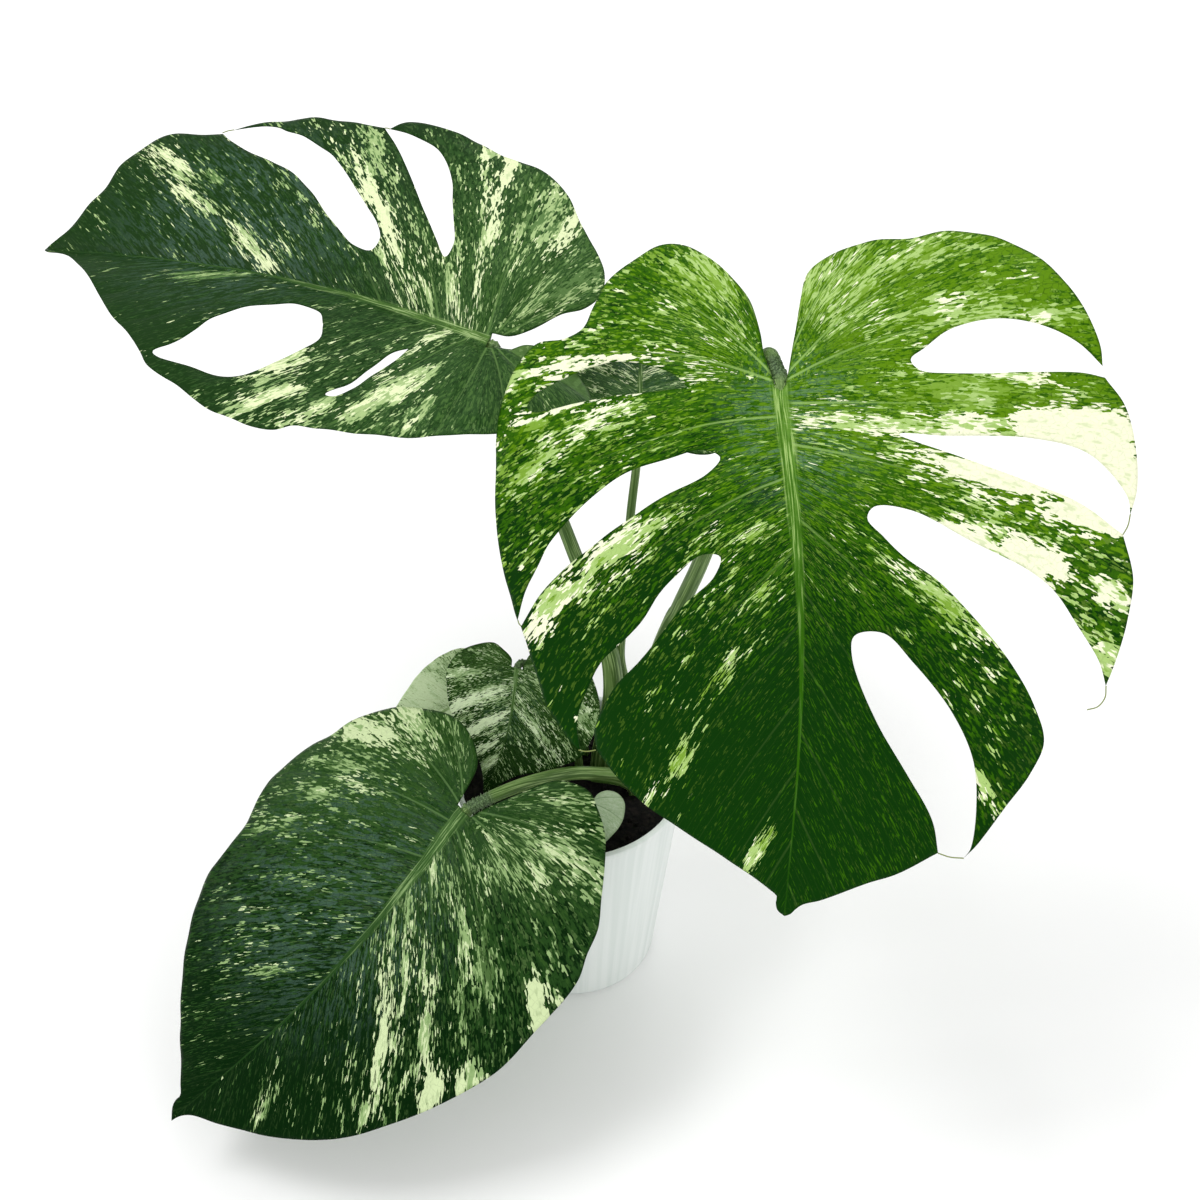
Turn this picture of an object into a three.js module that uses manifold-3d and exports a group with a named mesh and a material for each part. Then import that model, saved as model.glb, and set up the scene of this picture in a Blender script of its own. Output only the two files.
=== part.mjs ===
// A variegated monstera in a white pot, in millimetres, +Z up.
// The origin is the centre of the pot's flat underside.
// Seven leaves, each a thin blade on its own petiole, rise from a short stem in the soil.

import * as THREE from 'three';
import { mergeVertices } from 'three/addons/utils/BufferGeometryUtils.js';
import Module from 'manifold-3d';

const wasm = await Module();
wasm.setup();

// Driving dimensions of the pot and the soil
const POT_HEIGHT = 133;
const POT_BASE_RADIUS = 46.5;
const POT_RIM_RADIUS = 62.5;
const POT_WALL = 2.4;
const POT_FLOOR = 3;
const POT_CORNER = 4;
const RIM_BAND = 5;
const RIM_PROUD = 0.9;
const POT_SIDES = 64;
const SOIL_TOP = 121;
const SOIL_MOUND = 2;
const SOIL_SIDES = 48;
const SEAT_GAP = 0.3;

// Driving dimensions of the stems
const HOLE_FLOOR = 104;
const STEM_FOOT = HOLE_FLOOR + SEAT_GAP;
const STEM_CENTRE = [36, 24];
const STEM_RADIUS = 6.5;
const STEM_TOP = 142;
const PETIOLE_SIDES = 10;
const PETIOLE_STEP = 13;
const SHEATH_STEP = 0.7;

// Driving dimensions of the blades
const BLADE_THICKNESS = 0.9;
const BLADE_BASE_GAP = 0.4;
const MARGIN_SPACING = 8;
const INNER_SPACING = 16;
const MARGIN_CLEARANCE = 6.5;
const MIDRIB_SPACING = 13;

// Colours, roughness and metalness seen on the real plant
const WHITE_PLASTIC = { color: 0xe9edea, roughness: 0.55, metalness: 0 };
const PEAT = { color: 0x1c1512, roughness: 0.95, metalness: 0 };
const STEM_GREEN = { color: 0x5d7a3c, roughness: 0.5, metalness: 0 };
const PETIOLE_GREEN = { color: 0x6c8f4a, roughness: 0.45, metalness: 0 };
const BRIGHT_GREEN = { color: 0x4c7a1d, roughness: 0.4, metalness: 0 };
const DEEP_GREEN = { color: 0x2c5a2a, roughness: 0.4, metalness: 0 };
const PALE_GREEN = { color: 0xa9bf97, roughness: 0.5, metalness: 0 };

// A unit heart-shaped leaf: along the midrib from the joint, and across from it
const HEART_SIDE = [
  [-0.03, 0.05], [-0.14, 0.1], [-0.23, 0.22], [-0.22, 0.36], [-0.1, 0.47], [0.08, 0.5],
  [0.28, 0.47], [0.5, 0.36], [0.72, 0.21], [0.9, 0.07], [1, 0],
];

// Each blade lies in its own frame: `along` the midrib from the joint, `across` it, and `out`
// along the face normal. Outlines are [along, across] points in millimetres, one run per
// smooth stretch, and neighbouring runs share their corner point.
const FRONT_OUTLINE = [
  [[0, -5], [-14, -8], [-25, -10], [-41, -16], [-52, -25], [-64, -38], [-72, -54], [-70, -67],
    [-55, -88], [-44, -94], [-34, -98], [-29, -108], [-28, -122], [-20, -131], [-8, -137],
    [14, -143], [39, -144], [70, -141], [97, -133], [104, -130]],
  [[104, -130], [91, -126], [78, -119], [67, -112], [50, -93], [38, -73], [32, -50], [29, -36],
    [33, -27], [40, -33], [49, -53], [62, -76], [77, -99], [91, -116], [107, -128]],
  [[107, -128], [123, -123], [145, -114], [161, -103], [165, -98]],
  [[165, -98], [153, -99], [138, -94], [124, -85], [108, -66], [94, -56], [86, -48], [77, -36],
    [78, -27], [87, -30], [100, -45], [120, -62], [138, -80], [156, -90], [165, -89]],
  [[165, -89], [186, -69], [198, -52], [210, -32], [221, -13], [230, -3], [238, 0]],
  [[238, 0], [231, 17], [223, 38], [219, 50], [209, 69]],
  [[209, 69], [195, 67], [176, 57], [151, 43], [124, 33], [114, 34], [113, 47], [126, 60],
    [147, 76], [168, 85], [189, 86], [207, 83], [211, 80]],
  [[211, 80], [205, 86], [189, 98], [174, 109], [160, 115], [144, 111], [125, 101], [107, 87],
    [90, 71], [79, 56], [70, 47], [62, 40], [57, 43], [59, 60], [73, 86], [85, 109], [94, 120],
    [108, 129], [124, 138], [135, 141]],
  [[135, 141], [127, 144], [108, 150], [88, 153], [69, 149]],
  [[69, 149], [56, 132], [46, 109], [35, 80], [25, 54], [26, 75], [27, 110], [32, 132],
    [41, 143], [53, 151], [60, 152]],
  [[60, 152], [48, 155], [28, 154], [12, 150], [0, 142]],
  [[0, 142], [-2, 132], [-2, 110], [-2, 75], [-4, 63], [-9, 59], [-14, 65], [-22, 76],
    [-27, 95], [-25, 111], [-16, 130], [-5, 141]],
  [[-5, 141], [-14, 140], [-32, 133], [-53, 117], [-64, 101], [-71, 74], [-67, 55], [-66, 37],
    [-59, 17], [-52, 10], [-39, 8], [-22, 6], [0, 5]],
];
const FRONT_HOLE = [
  [[0, -43], [-6, -49], [-12, -64], [-15, -80], [-12, -98], [-3, -120], [3, -126], [6, -122],
    [5, -110], [2, -86], [1, -68], [0, -43]],
];

const BACK_OUTLINE = [
  [[0, -5], [-9, -6], [-18, -13], [-29, -26], [-39, -35], [-44, -47], [-41, -60], [-33, -71],
    [-21, -84], [-7, -102], [4, -110], [17, -115], [38, -119], [52, -126], [67, -131], [81, -131],
    [93, -128], [101, -119]],
  [[101, -119], [80, -117], [71, -113], [63, -105], [54, -90], [49, -77], [43, -63], [38, -50],
    [39, -40], [47, -49], [62, -68], [83, -96], [93, -108], [104, -119]],
  [[104, -119], [129, -120], [145, -119], [162, -113], [183, -97]],
  [[183, -97], [162, -107], [155, -105], [143, -102], [128, -95], [114, -84], [102, -72],
    [90, -60], [81, -51], [76, -42], [78, -34], [88, -35], [101, -44], [111, -52], [123, -63],
    [138, -73], [152, -78], [178, -86], [188, -93]],
  [[188, -93], [200, -89], [214, -87], [223, -80], [233, -61], [235, -43], [239, -30],
    [242, -14], [249, 0]],
  [[249, 0], [236, 2], [224, 12], [212, 23], [198, 37], [186, 49], [170, 61], [157, 73],
    [149, 81], [128, 90], [106, 100], [92, 103], [81, 105], [72, 103], [64, 97], [54, 95],
    [42, 93], [27, 91], [12, 87], [-1, 81], [-14, 73], [-29, 64], [-48, 45], [-56, 31],
    [-60, 16], [-55, 5], [-43, -4], [-30, -7], [-18, -5], [-10, 1], [0, 5]],
];
const BACK_HOLE = [
  [[79, 26], [86, 15], [99, 13], [109, 17], [123, 27], [133, 39], [138, 51], [145, 64],
    [151, 71], [147, 74], [128, 76], [106, 76], [97, 70], [89, 59], [81, 47], [76, 37], [79, 26]],
];
const BACK_NARROW_HOLE = [
  [[33, 26], [38, 32], [44, 47], [50, 62], [58, 73], [53, 73], [47, 64], [41, 51], [35, 37],
    [33, 26]],
];

const LOW_OUTLINE = [
  [[0, -5], [-12, -9], [-21, -14], [-27, -23], [-30, -35], [-29, -47], [-23, -60], [-12, -77],
    [0, -87], [12, -93], [25, -98], [38, -104], [51, -108], [65, -109], [76, -104], [90, -98],
    [105, -94], [127, -91], [137, -84], [159, -64], [177, -44], [193, -24], [207, -6], [219, 0]],
  [[219, 0], [212, 6], [200, 22], [180, 51], [156, 74], [129, 88], [103, 98], [76, 105],
    [49, 104], [17, 102], [5, 97], [-8, 92], [-20, 82], [-38, 66], [-45, 58], [-50, 48],
    [-53, 39], [-50, 30], [-44, 22], [-23, 13], [-10, 8], [0, 5]],
];

const HEART_OUTLINE = [
  [[0, -3], [-4, -4], [-8, -10], [-10, -16], [-6, -26], [1, -34], [11, -37], [18, -35],
    [31, -29], [43, -15], [58, -4], [71, 0]],
  [[71, 0], [57, 13], [51, 25], [44, 37], [37, 45], [22, 49], [8, 48], [-6, 40], [-14, 31],
    [-17, 22], [-14, 11], [-9, 5], [0, 3]],
];

// Where each leaf stands. The joint is where the petiole meets the blade, `pointsTo` is where
// the flat midrib would end, and the face azimuth and elevation turn the upper face.
// `fold` lifts the halves beside the midrib, `cup` lowers the margins, and the droops lower
// the tip and the basal lobes. A petiole stands upright in the soil at its foot, and its route
// runs from there to the joint.
const LEAVES = [
  {
    name: 'front_leaf', finish: BRIGHT_GREEN, outline: FRONT_OUTLINE, holes: [FRONT_HOLE],
    joint: [97.4, -22.5, 411.2], pointsTo: [93.1, -198.7, 250.9], face: [-116, 45],
    length: 238, width: 155, fold: 5, cup: 28, tipDroop: 20, baseDroop: 16, baseReach: 70,
    bow: 10, wave: 1.6, keel: 3.2,
    foot: [41, 9], route: [[41, 8, 150], [41, 5, 184], [47.4, -3, 228],
      [56.6, -10, 266], [65.8, -15, 300], [78, -12, 345], [87, -3, 388], [91, 1, 406],
      [93.8, -4, 413.6], [95.8, -13, 412.2]],
    radii: [[0, 5.6], [0.12, 5.6], [0.46, 4.9], [0.47, 4.9 - SHEATH_STEP], [0.9, 3.5], [0.94, 3.8],
      [1, 3.3]],
  },
  {
    name: 'back_leaf', finish: DEEP_GREEN, outline: BACK_OUTLINE,
    holes: [BACK_HOLE, BACK_NARROW_HOLE],
    joint: [-39.8, 88.3, 354.8], pointsTo: [-273.2, 163.3, 380.7], face: [-75, 79],
    length: 247, width: 128, fold: 18, cup: 3, tipDroop: 24, baseDroop: 12, baseReach: 62,
    bow: -8, wave: 1.6, keel: 3,
    foot: [19, 16], route: [[21, 20, 145], [23.5, 25, 172], [21, 29, 198],
      [13.6, 33, 227], [4.3, 39, 252.5], [-2.9, 45, 272], [-15.4, 58, 302.3], [-26.5, 73, 328],
      [-30.5, 80, 339], [-32.5, 83, 345.6], [-36, 85.6, 350.4]],
    radii: [[0, 8], [0.1, 8], [0.24, 5.6], [0.34, 4.9], [0.35, 4.9 - SHEATH_STEP], [0.92, 3.1],
      [0.95, 3.5], [1, 3.1]],
  },
  {
    name: 'low_leaf', finish: DEEP_GREEN, outline: LOW_OUTLINE, holes: [],
    joint: [-53.6, -56.2, 164.5], pointsTo: [-207.5, -166.4, 61.4], face: [-125, 60],
    length: 215, width: 120, fold: 3, cup: 32, tipDroop: 20, baseDroop: 8, baseReach: 60,
    bow: 11, wave: 1.6, keel: 3,
    foot: [36, -3], route: [[33.5, -4, 131], [28, -5.5, 136], [18, -8, 141], [2.5, -16, 150.5],
      [-17, -33, 163], [-33, -45, 167.3], [-44, -51.6, 167]],
    radii: [[0, 4.4], [0.2, 4.4], [0.4, 3.7], [1, 3.3]],
  },
  {
    name: 'small_leaf', finish: DEEP_GREEN, outline: HEART_OUTLINE, holes: [],
    joint: [-28.3, 29.1, 184.5], pointsTo: [-47, -20.8, 137.4], face: [-100, 48],
    length: 71, width: 45, fold: 2.5, cup: 6, tipDroop: 6, baseDroop: 3, baseReach: 20,
    bow: 4, wave: 0.8, keel: 1.6,
    foot: [5, 12], route: [[2, 20, 142], [-7, 29, 162], [-19, 35, 178],
      [-26, 33, 184.6]],
    radii: [[0, 2.3], [1, 1.9]],
  },
  {
    name: 'pale_leaf', finish: PALE_GREEN, heart: [60, 58], holes: [],
    joint: [-54, 40, 153.5], pointsTo: [-104.5, 26, 133.5], face: [-105, 58],
    length: 60, width: 35, fold: 2, cup: 5, tipDroop: 5, baseDroop: 2, baseReach: 16,
    bow: 1.5, wave: 0.7, keel: 1.5,
    foot: [8, 26], route: [[2, 32, 137], [-14, 40, 149], [-34, 43, 155.5],
      [-46, 41.5, 155.3]],
    radii: [[0, 2.1], [1, 1.7]],
  },
  {
    name: 'seedling_leaf', finish: PALE_GREEN, heart: [36, 40], holes: [],
    joint: [10, -27.5, 140.5], pointsTo: [3.5, -54.5, 126.5], face: [-95, 60],
    length: 36, width: 22, fold: 1.2, cup: 2.5, tipDroop: 2, baseDroop: 1, baseReach: 9,
    bow: 1, wave: 0.4, keel: 1.2,
    foot: [20, -22], route: [[17, -22.5, 130], [12.3, -24, 136.5]],
    radii: [[0, 1.7], [1, 1.4]],
  },
  {
    name: 'hidden_leaf', finish: DEEP_GREEN, heart: [100, 104], holes: [],
    joint: [37, 97, 305], pointsTo: [45, 194, 326], face: [-85, 72],
    length: 100, width: 60, fold: 3, cup: 8, tipDroop: 10, baseDroop: 4, baseReach: 26,
    bow: 2, wave: 1, keel: 1.8,
    foot: [27, 33], route: [[29.5, 33, 150], [29.5, 33, 170], [27, 34, 190],
      [30, 40, 226], [32, 54, 269], [35, 68, 292], [36.5, 84, 303], [36.8, 91, 304]],
    radii: [[0, 3], [0.3, 2.6], [1, 2.1]],
  },
];

function toManifold(geometry) {
  const bare = geometry.clone();
  bare.deleteAttribute('normal');
  bare.deleteAttribute('uv');
  const merged = mergeVertices(bare, 1e-4);
  return new wasm.Manifold(new wasm.Mesh({
    numProp: 3,
    vertProperties: new Float32Array(merged.attributes.position.array),
    triVerts: new Uint32Array(merged.index.array),
  }));
}

function toGeometry(solid) {
  const mesh = solid.getMesh();
  const geometry = new THREE.BufferGeometry();
  geometry.setAttribute('position', new THREE.BufferAttribute(mesh.vertProperties, 3));
  geometry.setIndex(new THREE.BufferAttribute(mesh.triVerts, 1));
  return geometry;
}

// Lathes turn about Y in their own frame, so each is stood up onto +Z.
function turned(profile, sides) {
  const points = profile.map(([radius, height]) => new THREE.Vector2(radius, height));
  return new THREE.LatheGeometry(points, sides).rotateX(Math.PI / 2);
}

function named(name, geometry, finish) {
  const mesh = new THREE.Mesh(geometry, new THREE.MeshStandardMaterial(finish));
  mesh.name = name;
  return mesh;
}

function wallRadius(height) {
  return POT_BASE_RADIUS + (POT_RIM_RADIUS - RIM_PROUD - POT_BASE_RADIUS) * (height / POT_HEIGHT);
}

function innerRadius(height) {
  return wallRadius(height) - POT_WALL;
}

// The pot: flat foot, rounded bottom corner, straight flaring wall and a slightly proud rim
function potGeometry() {
  const profile = [[0, 0], [wallRadius(0) - POT_CORNER, 0]];
  for (const turn of [0.25, 0.5, 0.75, 1]) {
    const angle = turn * Math.PI / 2;
    profile.push([
      wallRadius(POT_CORNER) - POT_CORNER * (1 - Math.sin(angle)),
      POT_CORNER * (1 - Math.cos(angle)),
    ]);
  }
  const bandFoot = POT_HEIGHT - RIM_BAND;
  const inside = innerRadius(POT_HEIGHT);
  profile.push([wallRadius(bandFoot - 1), bandFoot - 1]);
  profile.push([wallRadius(bandFoot) + RIM_PROUD, bandFoot]);
  profile.push([POT_RIM_RADIUS, POT_HEIGHT - 1]);
  profile.push([POT_RIM_RADIUS - 1, POT_HEIGHT]);
  profile.push([inside + 0.6, POT_HEIGHT]);
  profile.push([inside, POT_HEIGHT - 0.6]);
  profile.push([innerRadius(POT_FLOOR + 2), POT_FLOOR + 2]);
  profile.push([innerRadius(POT_FLOOR) - 2, POT_FLOOR]);
  profile.push([0, POT_FLOOR]);
  return turned(profile, POT_SIDES);
}

// The soil fills the pot to below its rim, with a plain hole for each stem
function soilGeometry(stems) {
  const foot = POT_FLOOR + SEAT_GAP;
  const profile = [
    [0, foot],
    [innerRadius(foot) - 3 - SEAT_GAP, foot],
    [innerRadius(foot + 3) - SEAT_GAP, foot + 3],
    [innerRadius(SOIL_TOP) - SEAT_GAP, SOIL_TOP],
    [innerRadius(SOIL_TOP) * 0.6, SOIL_TOP + SOIL_MOUND * 0.7],
    [0, SOIL_TOP + SOIL_MOUND],
  ];
  let soil = toManifold(turned(profile, SOIL_SIDES));
  const depth = SOIL_TOP + 10 - HOLE_FLOOR;
  for (const { at, radius } of stems) {
    const bore = new THREE.CylinderGeometry(radius + 0.5, radius + 0.5, depth, 16);
    bore.rotateX(Math.PI / 2).translate(at[0], at[1], HOLE_FLOOR + depth / 2);
    soil = soil.subtract(toManifold(bore));
  }
  return toGeometry(soil);
}

// The short stem that the petioles grew from, cut round at its top
function stemGeometry() {
  const profile = [
    [0, STEM_FOOT],
    [STEM_RADIUS, STEM_FOOT],
    [STEM_RADIUS, SOIL_TOP],
    [STEM_RADIUS * 0.9, SOIL_TOP + 4],
    [STEM_RADIUS * 0.96, STEM_TOP - 6],
    [STEM_RADIUS * 0.7, STEM_TOP - 1.5],
    [0, STEM_TOP],
  ];
  return turned(profile, 16).translate(STEM_CENTRE[0], STEM_CENTRE[1], 0);
}

function lerpTable(table, x) {
  let k = 1;
  while (k < table.length - 1 && table[k][0] < x) k += 1;
  const [x0, y0] = table[k - 1];
  const [x1, y1] = table[k];
  const t = Math.min(1, Math.max(0, (x - x0) / (x1 - x0)));
  return y0 + (y1 - y0) * t;
}

// A leaf's own frame and its curved middle surface
function leafFrame(leaf) {
  const joint = new THREE.Vector3(...leaf.joint);
  const [azimuth, elevation] = leaf.face.map(THREE.MathUtils.degToRad);
  const out = new THREE.Vector3(
    Math.cos(elevation) * Math.cos(azimuth),
    Math.cos(elevation) * Math.sin(azimuth),
    Math.sin(elevation),
  );
  const along = new THREE.Vector3(...leaf.pointsTo).sub(joint).normalize();
  out.addScaledVector(along, -out.dot(along)).normalize();
  const across = new THREE.Vector3().crossVectors(out, along);
  return { joint, along, across, out };
}

function midribAcross(leaf, a) {
  const t = THREE.MathUtils.clamp(a / leaf.length, 0, 1);
  return leaf.bow * Math.sin(Math.PI * t);
}

function bladeHeight(leaf, a, b) {
  const ahead = Math.max(0, a) / leaf.length;
  const behind = Math.max(0, -a) / leaf.baseReach;
  const aside = Math.abs(b - midribAcross(leaf, a));
  const foldReach = leaf.width * 0.3;
  const edge = Math.hypot(b / leaf.width, (a - 0.35 * leaf.length) / (0.65 * leaf.length));
  const turn = Math.atan2(b, a - 0.3 * leaf.length);
  return leaf.fold * (1 - Math.exp(-aside / foldReach))
    - leaf.cup * (b / leaf.width) ** 2
    - leaf.tipDroop * ahead ** 2
    - leaf.baseDroop * behind ** 2
    + leaf.wave * edge ** 3 * Math.sin(9 * turn + 1);
}

function onBlade(leaf, frame, a, b) {
  return frame.joint.clone()
    .addScaledVector(frame.along, a)
    .addScaledVector(frame.across, b)
    .addScaledVector(frame.out, bladeHeight(leaf, a, b));
}

function bladeNormal(leaf, frame, a, b) {
  const d = 0.5;
  const alongStep = onBlade(leaf, frame, a + d, b).sub(onBlade(leaf, frame, a - d, b));
  const acrossStep = onBlade(leaf, frame, a, b + d).sub(onBlade(leaf, frame, a, b - d));
  return alongStep.cross(acrossStep).normalize();
}

// Smooth runs joined at their corners into one closed loop of evenly spaced points
function loopPoints(runs, spacing) {
  const loop = [];
  for (const run of runs) {
    const curve = new THREE.CatmullRomCurve3(
      run.map(([a, b]) => new THREE.Vector3(a, b, 0)), false, 'centripetal');
    const steps = Math.max(2, Math.round(curve.getLength() / spacing));
    const points = curve.getSpacedPoints(steps).slice(0, -1);
    loop.push(...points.map((p) => new THREE.Vector2(p.x, p.y)));
  }
  const last = runs[runs.length - 1];
  const end = last[last.length - 1];
  const start = runs[0][0];
  if (Math.hypot(end[0] - start[0], end[1] - start[1]) > 0.01) loop.push(new THREE.Vector2(...end));
  return loop;
}

function heartRuns(length, width) {
  const side = (sign) => HEART_SIDE.map(([a, b]) => [a * length, sign * b * width]);
  const left = side(-1);
  const right = side(1).reverse();
  return [[[0, -0.05 * width], ...left.slice(1)], [...right.slice(0, -1), [0, 0.05 * width]]];
}

function distanceToLoop(point, loop) {
  let nearest = Infinity;
  for (let i = 0; i < loop.length; i += 1) {
    const p = loop[i];
    const q = loop[(i + 1) % loop.length];
    const dx = q.x - p.x;
    const dy = q.y - p.y;
    const t = THREE.MathUtils.clamp(
      ((point.x - p.x) * dx + (point.y - p.y) * dy) / (dx * dx + dy * dy), 0, 1);
    nearest = Math.min(nearest, Math.hypot(point.x - p.x - t * dx, point.y - p.y - t * dy));
  }
  return nearest;
}

function isInside(point, loop) {
  let inside = false;
  for (let i = 0, j = loop.length - 1; i < loop.length; j = i, i += 1) {
    const p = loop[i];
    const q = loop[j];
    const crosses = (p.y > point.y) !== (q.y > point.y)
      && point.x < ((q.x - p.x) * (point.y - p.y)) / (q.y - p.y) + p.x;
    if (crosses) inside = !inside;
  }
  return inside;
}

// Points inside the blade: a row down the midrib, and a staggered grid on both sides of it
function innerPoints(leaf, loop, holes) {
  const clear = (p) => isInside(p, loop) && distanceToLoop(p, loop) > MARGIN_CLEARANCE * leaf.grain
    && holes.every((hole) => !isInside(p, hole) && distanceToLoop(p, hole) > MARGIN_CLEARANCE * leaf.grain);
  const points = [];
  const ribStep = MIDRIB_SPACING * leaf.grain;
  for (let a = ribStep * 0.5; a < leaf.length - ribStep * 0.3; a += ribStep) {
    const p = new THREE.Vector2(a, midribAcross(leaf, a));
    p.onMidrib = true;
    if (isInside(p, loop)) points.push(p);
  }
  const step = INNER_SPACING * leaf.grain;
  const rise = step * Math.sqrt(3) / 2;
  const rows = Math.ceil(leaf.width * 1.1 / rise);
  for (let row = -rows; row <= rows; row += 1) {
    if (row === 0) continue;
    const shift = row % 2 === 0 ? 0 : step / 2;
    for (let a = -leaf.baseReach * 1.2 + shift; a < leaf.length; a += step) {
      // A slight sway keeps the points of a row out of one straight line
      const sway = 0.05 * step * Math.sin(a + 2 * row);
      const p = new THREE.Vector2(a, row * rise + sway + midribAcross(leaf, a));
      if (clear(p)) points.push(p);
    }
  }
  return points;
}

function turnsLeft(p, q, r) {
  return (q.x - p.x) * (r.y - p.y) - (q.y - p.y) * (r.x - p.x);
}

function inCircle(a, b, c, d) {
  const ax = a.x - d.x;
  const ay = a.y - d.y;
  const bx = b.x - d.x;
  const by = b.y - d.y;
  const cx = c.x - d.x;
  const cy = c.y - d.y;
  return (ax * ax + ay * ay) * (bx * cy - cx * by)
    - (bx * bx + by * by) * (ax * cy - cx * ay)
    + (cx * cx + cy * cy) * (ax * by - bx * ay);
}

// Flips shared edges until no triangle's circle holds its neighbour's far corner
function flipToEven(points, triangles) {
  for (let round = 0; round < 60; round += 1) {
    const edges = new Map();
    triangles.forEach((t, index) => {
      for (let k = 0; k < 3; k += 1) edges.set(`${t[k]},${t[(k + 1) % 3]}`, [index, t[(k + 2) % 3]]);
    });
    const touched = new Set();
    let flips = 0;
    for (const [key, [index, far]] of edges) {
      const [i, j] = key.split(',').map(Number);
      const other = edges.get(`${j},${i}`);
      if (!other || touched.has(index) || touched.has(other[0])) continue;
      const opposite = other[1];
      const [p, q, r, s] = [points[i], points[j], points[far], points[opposite]];
      if (inCircle(p, q, r, s) <= 1e-6) continue;
      if (turnsLeft(s, q, r) <= 1e-3 || turnsLeft(r, p, s) <= 1e-3) continue;
      triangles[index] = [opposite, j, far];
      triangles[other[0]] = [far, i, opposite];
      touched.add(index);
      touched.add(other[0]);
      flips += 1;
    }
    if (flips === 0) return;
  }
}

// The blade: one even triangle net, set off alike to both faces and closed round every edge
function bladeGeometry(leaf) {
  const frame = leafFrame(leaf);
  const runs = leaf.outline ?? heartRuns(...leaf.heart);
  const spacing = MARGIN_SPACING * leaf.grain;
  const loop = loopPoints(runs, spacing);
  const holes = leaf.holes.map((hole) => loopPoints(hole, spacing));
  if (THREE.ShapeUtils.area(loop) < 0) loop.reverse();
  holes.forEach((hole) => {
    if (THREE.ShapeUtils.area(hole) > 0) hole.reverse();
  });
  const inner = innerPoints(leaf, loop, holes);
  const triangles = THREE.ShapeUtils.triangulateShape(loop, [...holes, ...inner.map((p) => [p])]);
  const points = [...loop, ...holes.flat(), ...inner];
  flipToEven(points, triangles);

  const upper = [];
  const lower = [];
  for (const p of points) {
    const middle = onBlade(leaf, frame, p.x, p.y);
    const normal = bladeNormal(leaf, frame, p.x, p.y);
    const keel = p.onMidrib ? leaf.keel * (1 - 0.85 * p.x / leaf.length) : 0;
    upper.push(middle.clone().addScaledVector(normal, BLADE_THICKNESS / 2));
    lower.push(middle.clone().addScaledVector(normal, -BLADE_THICKNESS / 2 - keel));
  }
  const count = points.length;
  const index = [];
  const open = new Map();
  for (const [i, j, k] of triangles) {
    index.push(i, j, k, count + k, count + j, count + i);
    for (const [p, q] of [[i, j], [j, k], [k, i]]) {
      if (!open.delete(`${q},${p}`)) open.set(`${p},${q}`, [p, q]);
    }
  }
  for (const [p, q] of open.values()) {
    index.push(q, p, count + p, q, count + p, count + q);
  }
  const geometry = new THREE.BufferGeometry();
  geometry.setAttribute('position', new THREE.Float32BufferAttribute(
    [...upper, ...lower].flatMap((v) => v.toArray()), 3));
  geometry.setIndex(index);
  return geometry;
}

// The petiole: a tapering round stalk along its route, ending just short of the blade
function petioleGeometry(leaf) {
  const frame = leafFrame(leaf);
  const tip = leaf.radii[leaf.radii.length - 1][1];
  const seat = onBlade(leaf, frame, -BLADE_BASE_GAP, 0).addScaledVector(frame.out, -0.5 * tip);
  const lead = seat.clone().addScaledVector(frame.along, -0.6 * tip);
  const upright = [STEM_FOOT, SOIL_TOP - 6, SOIL_TOP + 4];
  const buried = upright.map((height) => new THREE.Vector3(...leaf.foot, height));
  const route = [...buried, ...leaf.route.map((p) => new THREE.Vector3(...p)), lead, seat];
  const curve = new THREE.CatmullRomCurve3(route, false, 'centripetal');
  const steps = Math.max(8, Math.round(curve.getLength() / (PETIOLE_STEP * leaf.grain)));
  const sides = tip > 2.5 ? PETIOLE_SIDES : 8;
  const frames = curve.computeFrenetFrames(steps);
  const positions = [];
  for (let ring = 0; ring <= steps; ring += 1) {
    const centre = curve.getPointAt(ring / steps);
    const radius = lerpTable(leaf.radii, ring / steps);
    for (let side = 0; side < sides; side += 1) {
      const angle = (side / sides) * 2 * Math.PI;
      const spoke = frames.normals[ring].clone().multiplyScalar(Math.cos(angle))
        .addScaledVector(frames.binormals[ring], Math.sin(angle));
      positions.push(...centre.clone().addScaledVector(spoke, radius).toArray());
    }
  }
  const foot = positions.length / 3;
  positions.push(...curve.getPointAt(0).toArray(), ...curve.getPointAt(1).toArray());
  const index = [];
  for (let side = 0; side < sides; side += 1) {
    const next = (side + 1) % sides;
    for (let ring = 0; ring < steps; ring += 1) {
      const near = ring * sides;
      const far = near + sides;
      index.push(near + side, near + next, far + next, near + side, far + next, far + side);
    }
    index.push(foot, next, side, foot + 1, steps * sides + side, steps * sides + next);
  }
  const geometry = new THREE.BufferGeometry();
  geometry.setAttribute('position', new THREE.Float32BufferAttribute(positions, 3));
  geometry.setIndex(index);
  return geometry;
}

const plant = new THREE.Group();
const stems = [{ at: STEM_CENTRE, radius: STEM_RADIUS }];
for (const leaf of LEAVES) {
  // Small leaves are netted finer, in step with their size
  leaf.grain = THREE.MathUtils.clamp(leaf.length / 150, 0.42, 1);
  stems.push({ at: leaf.foot, radius: leaf.radii[0][1] });
}
plant.add(named('pot', potGeometry(), WHITE_PLASTIC));
plant.add(named('soil', soilGeometry(stems), PEAT));
plant.add(named('stem', stemGeometry(), STEM_GREEN));
for (const leaf of LEAVES) {
  plant.add(named(`${leaf.name}_petiole`, petioleGeometry(leaf), PETIOLE_GREEN));
  plant.add(named(`${leaf.name}_blade`, bladeGeometry(leaf), leaf.finish));
}

export default plant;
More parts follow.
